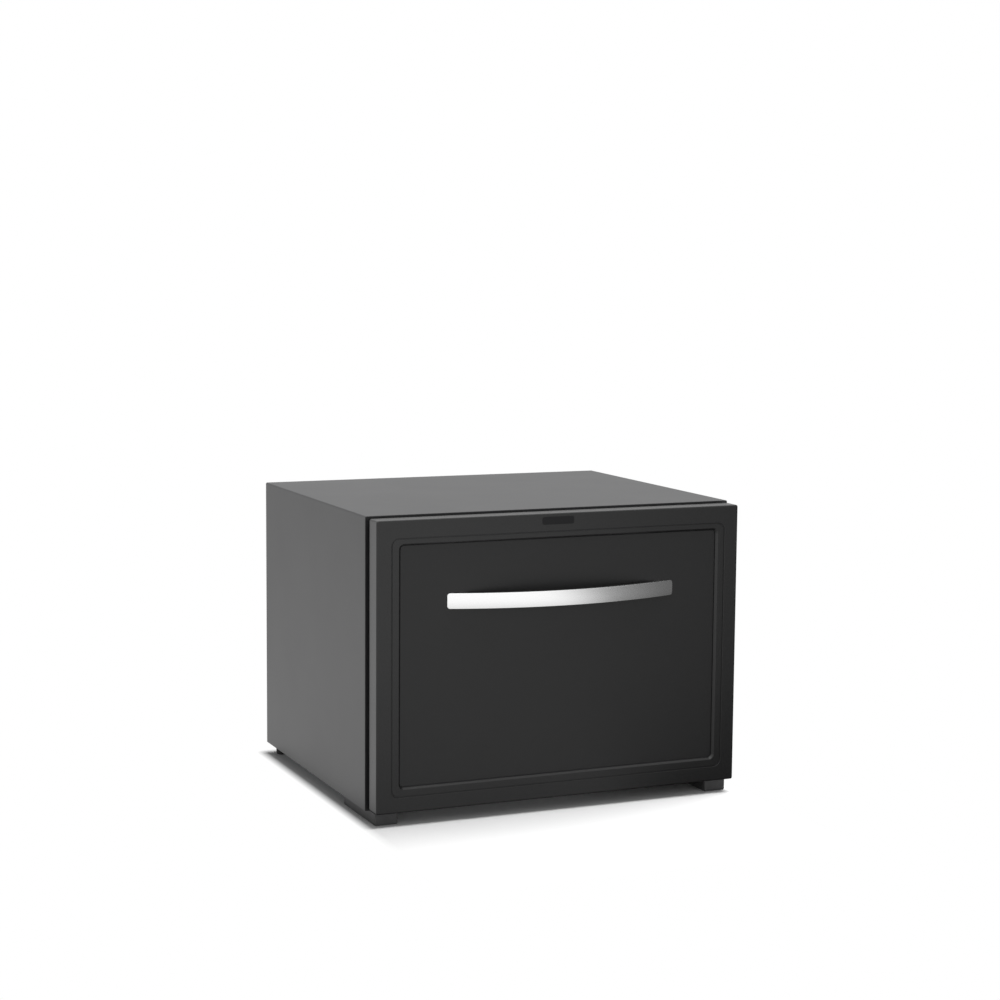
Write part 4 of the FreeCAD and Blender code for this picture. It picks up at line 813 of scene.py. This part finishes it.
class CabinetOperator(MinibarOperator, bpy.types.Operator):
    """Finishes the steel cabinet, its plate, pan, frame and insulation"""

    bl_idname = "minibar.cabinet"
    bl_label = "Cabinet"

    def make(self):
        look = colours()
        refine(painted_steel("cabinet paint", look.shell, look.shell_rough), "cabinet", "outer_shell")
        refine(zinc_sheet("zinc sheet", (0.62, 0.63, 0.64), 0.38), "cabinet",
               "base_pan", "back_plate", "unit_brackets", edge=0.25 * MM)
        finish_nodes(foam("hard foam", (0.72, 0.60, 0.32)), "insulation", "front_foam")
        refine(grained_plastic("breaker plastic", (0.30, 0.30, 0.31), 0.45), "cabinet", "breaker_frame",
               edge=0.4 * MM)


class LinerOperator(MinibarOperator, bpy.types.Operator):
    """Finishes the liner, the evaporator and what is fixed in the cold space"""

    bl_idname = "minibar.liner"
    bl_label = "Cold space"

    def make(self):
        white = gloss_plastic("liner plastic", colours().liner, 0.28)
        refine(white, "cabinet", "inner_liner")
        refine(white, "cabinet", "drip_channel", "control_housing", edge=0.4 * MM)
        refine(white, "drawer", "front_cover", edge=0.6 * MM)
        dress(self.lens(), "cabinet", gloss_plastic("lamp diffuser", (0.85, 0.85, 0.80), 0.35, 0.1),
              "lamp_lens")
        dress(self.knob(), "knob", gloss_plastic("knob plastic", (0.60, 0.61, 0.62), 0.35), "thermostat_knob")
        dress(self.marks(), "cabinet", gloss_plastic("dial marks", (0.08, 0.09, 0.11), 0.4, 0.0),
              slot="control_plastic")
        refine(brushed_metal("evaporator aluminium", (0.82, 0.83, 0.84), 0.38, Z), "cabinet",
               "evaporator_plate", edge=0.15 * MM)

    def lens(self):
        """A clear cover with fine ribs across its lower face."""
        low, high = LENS.low, LENS.high
        lens = soften(block("lamp_cover", low, high), 0.4 * MM)
        pitch = (high.x - low.x - 2 * RIB_MARGIN) / LENS_RIBS
        rib = drum("rib", pitch * 0.42, (low.x + RIB_MARGIN + pitch / 2, 0, low.z), Y,
                   low.y + RIB_MARGIN, high.y - RIB_MARGIN, 12)
        soften(rib, 0.2 * MM)
        copies = [copied(rib, "rib", Vector((pitch * index, 0, 0))) for index in range(1, LENS_RIBS)]
        return smooth(joined("lamp_cover", [lens, rib, *copies]))

    def knob(self):
        """A fluted grip with a raised pointer, on its shaft."""
        middle = KNOB.middle
        radius = KNOB.size.x / 2
        front = KNOB.low.y + POINTER_RISE
        back = front + GRIP_DEPTH
        grip = drum("thermostat_grip", radius, middle, Y, front, back, 36)
        pick(grip, "FACE", lambda centre, normal: abs(normal.y) < 0.5)
        bpy.ops.mesh.inset(thickness=0.35 * MM, depth=-0.45 * MM, use_individual=True)
        close_edit(grip)
        round_edges(grip, at(Y, front), 0.7 * MM, 4)
        pointer = block("pointer", (middle.x - POINTER_HALF, KNOB.low.y, middle.z),
                        (middle.x + POINTER_HALF, front + MM, middle.z + radius - 1.2 * MM))
        soften(pointer, 0.4 * MM, 3)
        shaft = soften(drum("shaft", 3.0 * MM, middle, Y, back - MM, KNOB.high.y, 32), 0.3 * MM)
        return smooth(joined("thermostat_grip", [grip, pointer, shaft]))

    def marks(self):
        """A fan of small studs around the knob."""
        wall = place("control_housing").low.y
        marks = []
        for index, reach in enumerate(MARK_REACHES):
            turn = math.radians(45 * index)
            spot = KNOB.middle + Vector((math.sin(turn), 0, math.cos(turn))) * reach * MM
            mark = drum("mark", 0.5 * MM, spot, Y, wall - 0.25 * MM, wall + 0.4 * MM, 16)
            marks.append(soften(mark, 0.15 * MM))
        return smooth(joined("dial_marks", marks))


class DrawerOperator(MinibarOperator, bpy.types.Operator):
    """Finishes runners, carrier, bin and divider"""

    bl_idname = "minibar.drawer"
    bl_label = "Drawer"

    def make(self):
        look = colours()
        steel = brushed_metal("runner steel", (0.60, 0.61, 0.62), 0.34, Y)
        for kind, body in (("outer_runner", "cabinet"), ("middle_runner", "middle_runners"),
                           ("inner_runner", "drawer"), ("carrier_arm", "drawer")):
            refine(steel, body, f"{kind}_left", f"{kind}_right", edge=0.15 * MM)
        refine(zinc_sheet("carrier zinc", (0.62, 0.63, 0.64), 0.36), "drawer", "carrier_floor", edge=0.3 * MM)
        refine(gloss_plastic("bin plastic", look.bin, 0.25), "drawer", "drawer_bin", edge=0.3 * MM)
        refine(gloss_plastic("divider plastic", tint(look.bin, 0.9), 0.2), "divider", "bottle_divider",
               edge=0.3 * MM)


class FrontOperator(MinibarOperator, bpy.types.Operator):
    """Models the drawer front: frame, bezel, badge plate and seal"""

    bl_idname = "minibar.front"
    bl_label = "Drawer front"

    def make(self):
        look = colours()
        grain = grained_plastic("front moulding", look.front, look.front_rough)
        dress(self.frame(), "drawer", grain, "front_frame")
        dress(self.bezel(), "drawer", grain, "panel_bezel")
        finish_nodes(grained_plastic("front panel", look.panel, look.panel_rough, 1500.0, 0.02 * MM),
                     "decor_panel")
        dress(self.badge(), "drawer", brushed_metal("badge metal", look.badge, 0.4), "badge_plate")
        dress(self.seal(), "drawer", rubber("seal rubber", (0.010, 0.010, 0.011), 0.6), "gasket")

    def frame(self):
        """The outer moulding with its rounded rim, its hollow back and the seat of the bezel."""
        body = slab("front_moulding", FRONT, FRONT_CORNER)
        round_edges(body, on_rim(FRONT, FACE_Y, FRONT_CORNER), sizes().front_edge, 8)
        before = FACE_Y - MM
        groove = BEZEL.grown(GROOVE)
        hollow = slab("hollow", FRONT.grown(-FRONT_WALL), FRONT_CORNER, depth=(SEAT_Y, FRONT.high.y + MM))
        seat = slab("seat", PANEL.grown(PANEL_PLAY), PANEL_CORNER + PANEL_PLAY,
                    depth=(PANEL_Y - MM, SEAT_Y + MM))
        opening = slab("opening", BEZEL, BEZEL_CORNER, 12, (before, PANEL_Y))
        line = slab("line", groove, GROOVE_CORNER, 12, (before, FACE_Y + GROOVE_DEPTH))
        carve(body, hollow, seat, opening, line)
        round_edges(body, on_rim(groove, FACE_Y, GROOVE_CORNER), GROOVE_EDGE, 3)
        return smooth(body)

    def bezel(self):
        """The inner ring, whose inside edge slopes down to the panel."""
        body = slab("bezel_ring", BEZEL, BEZEL_CORNER, 12)
        round_edges(body, on_rim(BEZEL, FACE_Y, BEZEL_CORNER), GROOVE_EDGE, 3)
        window = PANEL.grown(-PANEL_TUCK)
        carve(body, slab("window", window, PANEL_CORNER, 10, (FACE_Y - MM, PANEL_Y + MM)))
        round_edges(body, on_rim(window, FACE_Y, PANEL_CORNER), sizes().bezel_roll, 10, ROLL_PROFILE)
        return smooth(body)

    def badge(self):
        """A bare plate with round corners and a softened edge."""
        corner = BADGE.size.z / 4
        plate = slab("badge", BADGE, corner)
        return smooth(round_edges(plate, on_rim(BADGE, BADGE.low.y, corner), 0.3 * MM, 3))

    def seal(self):
        """The bellows seal: base strip, two pleats and the magnet lip."""
        rings = []
        for start, end, outer, inner in SEAL_ROWS:
            front, back = (SEAL.low.y + SEAL.size.y * share for share in (start, end))
            ring = slab("seal_row", SEAL.grown(-outer * SEAL_WIDTH), depth=(front, back))
            hole = slab("seal_hole", SEAL.grown(-inner * SEAL_WIDTH), depth=(front - MM, back + MM))
            rings.append(soften(carve(ring, hole), 0.35 * MM))
        return smooth(joined("bellows_seal", rings))


class HandleOperator(MinibarOperator, bpy.types.Operator):
    """Models the bowed strap handle"""

    bl_idname = "minibar.handle"
    bl_label = "Handle"

    def make(self):
        look = colours()
        dress(self.strap(), "drawer", brushed_metal("handle metal", look.metal, look.metal_rough), "handle")

    def arc(self, half, rise):
        """Radius of an arc from half its width and its rise."""
        return (half ** 2 + rise ** 2) / (2 * rise)

    def bow(self, name, half, end_y, front_y):
        """A tall drum whose front passes through the two ends and the middle of an arc."""
        radius = self.arc(half, end_y - front_y)
        return drum(name, radius, (HANDLE.middle.x, front_y + radius, 0), Z,
                    HANDLE.low.z - MM, HANDLE.high.z + MM, BOW_SIDES)

    def swell(self, strap, half):
        """Sets the front of the strap back towards its long edges, so that it is faintly convex."""
        middle, tall = HANDLE.middle, HANDLE.size.z
        radius = self.arc(half, HANDLE_TIP_Y - HANDLE.low.y)
        for step in range(-3, 4):
            open_whole(strap)
            bpy.ops.mesh.bisect(plane_co=(0, 0, middle.z + step / 8 * tall), plane_no=(0, 0, 1))
            close_edit(strap)

        def in_front(co):
            return abs(math.hypot(co.x - middle.x, co.y - HANDLE.low.y - radius) - radius) < 0.1 * MM

        for height in sorted({round(vert.co.z, 5) for vert in strap.data.vertices if in_front(vert.co)}):
            pick(strap, "VERT", lambda co: round(co.z, 5) == height and in_front(co))
            away = (height - middle.z) / tall * 2
            bpy.ops.transform.translate(value=(0, HANDLE_SWELL * away ** 2, 0))
            close_edit(strap)

    def strap(self):
        """A strap between two bows, with round ends and softened long edges."""
        half = HANDLE.size.x / 2
        strap = slab("handle_strap", HANDLE, HANDLE_END, 6)
        carve(strap, self.bow("front_bow", half, HANDLE_TIP_Y, HANDLE.low.y), operation="INTERSECT")
        carve(strap, self.bow("back_bow", half - HANDLE_PAD, PANEL_Y, HANDLE.low.y + HANDLE_STRAP))
        self.swell(strap, half)
        soften(strap, sizes().handle_edge, 5, 40)
        return smooth(strap, 30)


class FeetOperator(MinibarOperator, bpy.types.Operator):
    """Models the feet"""

    bl_idname = "minibar.feet"
    bl_label = "Feet"

    def make(self):
        plastic = grained_plastic("foot plastic", (0.06, 0.06, 0.061), 0.5)
        for node in ("front_foot_left", "front_foot_right"):
            dress(self.front_foot(node), "cabinet", plastic, node)
        dress(self.rear_feet(), "cabinet", rubber("foot rubber", (0.015, 0.015, 0.015), 0.7), "rear_feet")

    def front_foot(self, node):
        """A block with round upright edges on a thinner sole."""
        low, high = place(node).low, place(node).high
        body = pillar(f"{node}_block", (low.x, low.y, low.z + SOLE), high, 2.5 * MM, 8, 0.5 * MM, 3)
        pad = pillar("sole", (low.x + MM, low.y + MM, low.z), (high.x - MM, high.y - MM, low.z + 2 * SOLE),
                     2.0 * MM, 6, 0.3 * MM)
        return smooth(joined(f"{node}_block", [body, pad]))

    def rear_feet(self):
        """Two tapered feet with a ring above half height."""
        feet = []
        for solid in solids_of("rear_feet"):
            height = FOOT_TOP - solid.low.z
            radius = solid.size.x / 2
            deselect()
            bpy.ops.mesh.primitive_cone_add(
                vertices=48, radius1=radius - 1.5 * MM, radius2=radius, depth=height,
                location=(solid.middle.x, solid.middle.y, solid.low.z + height / 2))
            foot = soften(settled(bpy.context.object, "rear_foot"), 1.2 * MM, 4)
            ring = drum("ring", radius + 0.4 * MM, solid.middle, Z, height * 0.62, height * 0.74)
            feet += [foot, soften(ring, 0.8 * MM, 4)]
        return smooth(joined("rear_feet_pair", feet))


class UnitOperator(MinibarOperator, bpy.types.Operator):
    """Models the cooling unit in the rear bay"""

    bl_idname = "minibar.unit"
    bl_label = "Cooling unit"

    def make(self):
        paint = painted_steel("unit paint", colours().unit, 0.35)
        for node, piece in (("condenser_tube", self.condenser()), ("gas_heat_exchanger", self.gas_tube()),
                            ("absorber_coil", self.coil()), ("liquid_heat_exchanger", self.return_tube()),
                            ("absorber_vessel", self.vessel()), ("boiler_tube", self.boiler())):
            dress(piece, "cabinet", paint, node)
        dress(self.fins(), "cabinet", brushed_metal("fin aluminium", (0.72, 0.73, 0.74), 0.4, Z),
              "condenser_fins")
        dress(self.jacket(), "cabinet", zinc_sheet("jacket zinc", (0.60, 0.61, 0.61), 0.34), "boiler_jacket")
        dark = grained_plastic("unit plastic", (0.02, 0.02, 0.021), 0.5)
        refine(dark, "cabinet", "electronics_box", "electronics_cover", "vessel_cradle", "evaporator_plug",
               edge=0.5 * MM)
        dress(self.gland(), "cabinet", dark, "cord_gland")

    def axis(self, height):
        """A point on the boiler's axis."""
        return Vector((JACKET.middle.x, JACKET.middle.y, height))

    def condenser(self):
        """The tube from the boiler's top through the fins and down into the plug."""
        solid = place("condenser_tube")
        start = self.axis(JACKET.high.z + BOILER_STUB)
        top = self.axis(solid.high.z - CONDENSER_RADIUS)
        turn = Vector((solid.low.x + CONDENSER_RADIUS, top.y, top.z - CONDENSER_FALL))
        inlet = Vector((turn.x, turn.y, solid.low.z + CONDENSER_RADIUS))
        return tube("condenser_pipe", CONDENSER_RADIUS,
                    [start, top, turn, inlet, (inlet.x, solid.low.y, inlet.z)])

    def gas_tube(self):
        """The wide tube from the plug down into the vessel."""
        solid = place("gas_heat_exchanger")
        x, y, z = solid.middle.x, self.axis(0).y, solid.high.z - GAS_RADIUS
        return tube("gas_pipe", GAS_RADIUS, [(x, solid.low.y, z), (x, y, z), (x, y, VESSEL.middle.z)],
                    sides=32)

    def coil(self):
        """Level passes joined by half circles, from the vessel up to the gas tube."""
        solid = place("absorber_coil")
        near, far = solid.low.y + COIL_RADIUS, solid.high.y - COIL_RADIUS
        left = VESSEL.middle.x + COIL_FROM_VESSEL
        right = self.axis(0).x - COIL_FROM_JACKET
        z = solid.high.z - COIL_RADIUS - COIL_RISE * (COIL_PASSES - 1)
        turn = math.hypot(far - near, COIL_RISE) / 2
        foot = left - COIL_BEND
        points = [(foot, near, VESSEL.middle.z), (foot, near, z)]
        bends = [COIL_BEND]
        for index in range(COIL_PASSES - 1):
            x, y = (left - turn, far) if index % 2 else (right + turn, near)
            points += [(x, y, z), (x, near + far - y, z + COIL_RISE)]
            bends += [turn, turn]
            z += COIL_RISE
        gas_x = place("gas_heat_exchanger").middle.x
        points += [(gas_x, far, z), (gas_x, self.axis(0).y, z)]
        return tube("absorber_pipe", COIL_RADIUS, points, bends + [COIL_BEND])

    def return_tube(self):
        """The tube from the vessel's underside along the floor and up into the boiler."""
        z = place("liquid_heat_exchanger").low.z + CONDENSER_RADIUS
        start = (VESSEL.low.x + VESSEL.size.x * 0.75, self.axis(0).y, z)
        return tube("return_pipe", CONDENSER_RADIUS,
                    [start, self.axis(z), self.axis(JACKET.low.z - BOILER_STUB)])

    def vessel(self):
        """A lying tank with domed ends and a weld bead at each."""
        radius = VESSEL.size.z / 2
        left, right = VESSEL.low.x, VESSEL.high.x
        tank = drum("absorber_tank", radius, VESSEL.middle, X, left, right, 64)
        round_edges(tank, at(X, left, right), radius * 0.45, 10)
        beads = []
        for x in (left + radius * 0.5, right - radius * 0.5):
            bead = drum("bead", radius + 0.7 * MM, VESSEL.middle, X, x - 1.6 * MM, x + 1.6 * MM, 64)
            beads.append(soften(bead, 0.7 * MM, 3))
        return smooth(joined("absorber_tank", [tank, *beads]))

    def boiler(self):
        """The boiler's tube, which stands out above and below the jacket."""
        solid = place("boiler_tube")
        pipe = drum("boiler_pipe", solid.size.x / 2, self.axis(0), Z, solid.low.z, solid.high.z, 40)
        return smooth(soften(pipe, 1.5 * MM, 4))

    def fins(self):
        """Pressed plate fins threaded on the falling tube, twice as close as the solids."""
        solids = sorted(solids_of("condenser_fins"), key=lambda solid: solid.low.x)
        first = solids[0]
        count = 2 * len(solids) - 1
        step = (solids[-1].low - first.low) / (count - 1)
        fin = round_edges(block("cooling_fins", first.low, first.high), along(X), 5 * MM)
        soften(fin, 0.15 * MM)
        collar = drum("collar", CONDENSER_RADIUS + MM, first.middle, X,
                      first.middle.x - 2 * MM, first.middle.x + 2 * MM, 24)
        fin = joined("cooling_fins", [fin, soften(collar, 0.4 * MM)])
        copies = [copied(fin, "fin", step * index) for index in range(1, count)]
        return smooth(joined("cooling_fins", [fin, *copies]))

    def jacket(self):
        """The sheet metal can around the boiler, held by two bands."""
        parts = [pillar("boiler_can", JACKET.low, JACKET.high, JACKET_ROUND, 10, 1.5 * MM, 4, 50)]
        rise = Vector((BAND_RISE, BAND_RISE, 0))
        for share in (0.2, 0.8):
            low, high = JACKET.low - rise, JACKET.high + rise
            z = JACKET.low.z + JACKET.size.z * share
            low.z, high.z = z - 5 * MM, z + 5 * MM
            parts.append(pillar("band", low, high, JACKET_ROUND + BAND_RISE, 10, 0.4 * MM, 2, 50))
        return smooth(joined("boiler_can", parts))

    def gland(self):
        """A round gland with a six-sided nut and an open bore."""
        solid = place("cord_gland")
        front, back = solid.low.y, solid.high.y
        nut = drum("gland_body", solid.size.z / 2, solid.middle, Y, front + 2 * MM, front + 4 * MM, 6)
        barrel = drum("barrel", 8 * MM, solid.middle, Y, front, back)
        soften(nut, 0.4 * MM)
        round_edges(barrel, at(Y, back), 1.5 * MM)
        for piece in (nut, barrel):
            carve(piece, drum("bore", GLAND_BORE, solid.middle, Y, front - MM, back + MM, 32))
        return smooth(joined("gland_body", [nut, barrel]))


class FastenerOperator(MinibarOperator, bpy.types.Operator):
    """Models the screws"""

    bl_idname = "minibar.fasteners"
    bl_label = "Screws"

    def make(self):
        steel = brushed_metal("screw steel", (0.58, 0.58, 0.59), 0.3, Z)
        quarter = math.pi / 2
        pattern = self.pattern()
        for node, body in (("foot_screws", "cabinet"), ("runner_screws", "cabinet"),
                           ("carrier_screws", "drawer"), ("handle_screws", "drawer")):
            screws = []
            for solid in solids_of(node):
                head, turn = solid.middle.copy(), (0, 0, 0)
                if node == "foot_screws":
                    head.z = solid.low.z
                elif node == "runner_screws":
                    head.x = solid.low.x if head.x > 0 else solid.high.x
                    turn = (0, math.copysign(quarter, head.x), 0)
                else:
                    head.y = solid.high.y
                    turn = (quarter, 0, 0)
                screws.append(copied(pattern, "screw", head, turn))
            dress(joined(f"{node}_set", screws), body, steel, node)
        bpy.data.objects.remove(pattern)

    def pattern(self):
        """One screw with its head at the origin and its shank along Z: round head, cross recess."""
        head = drum("screw_pattern", 3.6 * MM, (0, 0, 0), Z, 0, 1.4 * MM, 28)
        round_edges(head, at(Z, 0), 0.6 * MM, 4)
        for x, y in ((2.1 * MM, 0.45 * MM), (0.45 * MM, 2.1 * MM)):
            slot = block("slot", (-x, -y, -MM), (x, y, 0.7 * MM))
            carve(head, soften(slot, 0.1 * MM))
        shank = soften(drum("shank", 1.8 * MM, (0, 0, 0), Z, MM, 4.5 * MM, 20), 0.2 * MM)
        return smooth(joined("screw_pattern", [head, shank]))


class MinibarPanel(bpy.types.Panel):
    """Lists the part's operators and settings"""

    bl_idname = "VIEW3D_PT_minibar"
    bl_label = "Minibar"
    bl_space_type = "VIEW_3D"
    bl_region_type = "UI"
    bl_category = "Minibar"

    def draw(self, context):
        for kind in OPERATORS:
            self.layout.operator(kind.bl_idname)
        for group in (context.scene.minibar_colours, context.scene.minibar_sizes,
                      context.scene.minibar_studio):
            for key in group.__annotations__:
                self.layout.prop(group, key)


OPERATORS = (StudioOperator, CabinetOperator, LinerOperator, DrawerOperator, FrontOperator, HandleOperator,
             FeetOperator, UnitOperator, FastenerOperator)
GROUPS = (MinibarColours, MinibarSizes, MinibarStudio)


def register():
    """Registers the classes and the scene's settings."""
    for kind in (*GROUPS, *OPERATORS, MinibarPanel):
        bpy.utils.register_class(kind)
    bpy.types.Scene.minibar_colours = bpy.props.PointerProperty(type=MinibarColours)
    bpy.types.Scene.minibar_sizes = bpy.props.PointerProperty(type=MinibarSizes)
    bpy.types.Scene.minibar_studio = bpy.props.PointerProperty(type=MinibarStudio)


def unregister():
    """Removes the settings and the classes."""
    for name in ("minibar_studio", "minibar_sizes", "minibar_colours"):
        delattr(bpy.types.Scene, name)
    for kind in reversed((*GROUPS, *OPERATORS, MinibarPanel)):
        bpy.utils.unregister_class(kind)


def main():
    """Makes the whole model."""
    register()
    for kind in OPERATORS:
        group, name = kind.bl_idname.split(".")
        getattr(getattr(bpy.ops, group), name)()
    deselect()


if __name__ == "__main__":
    main()
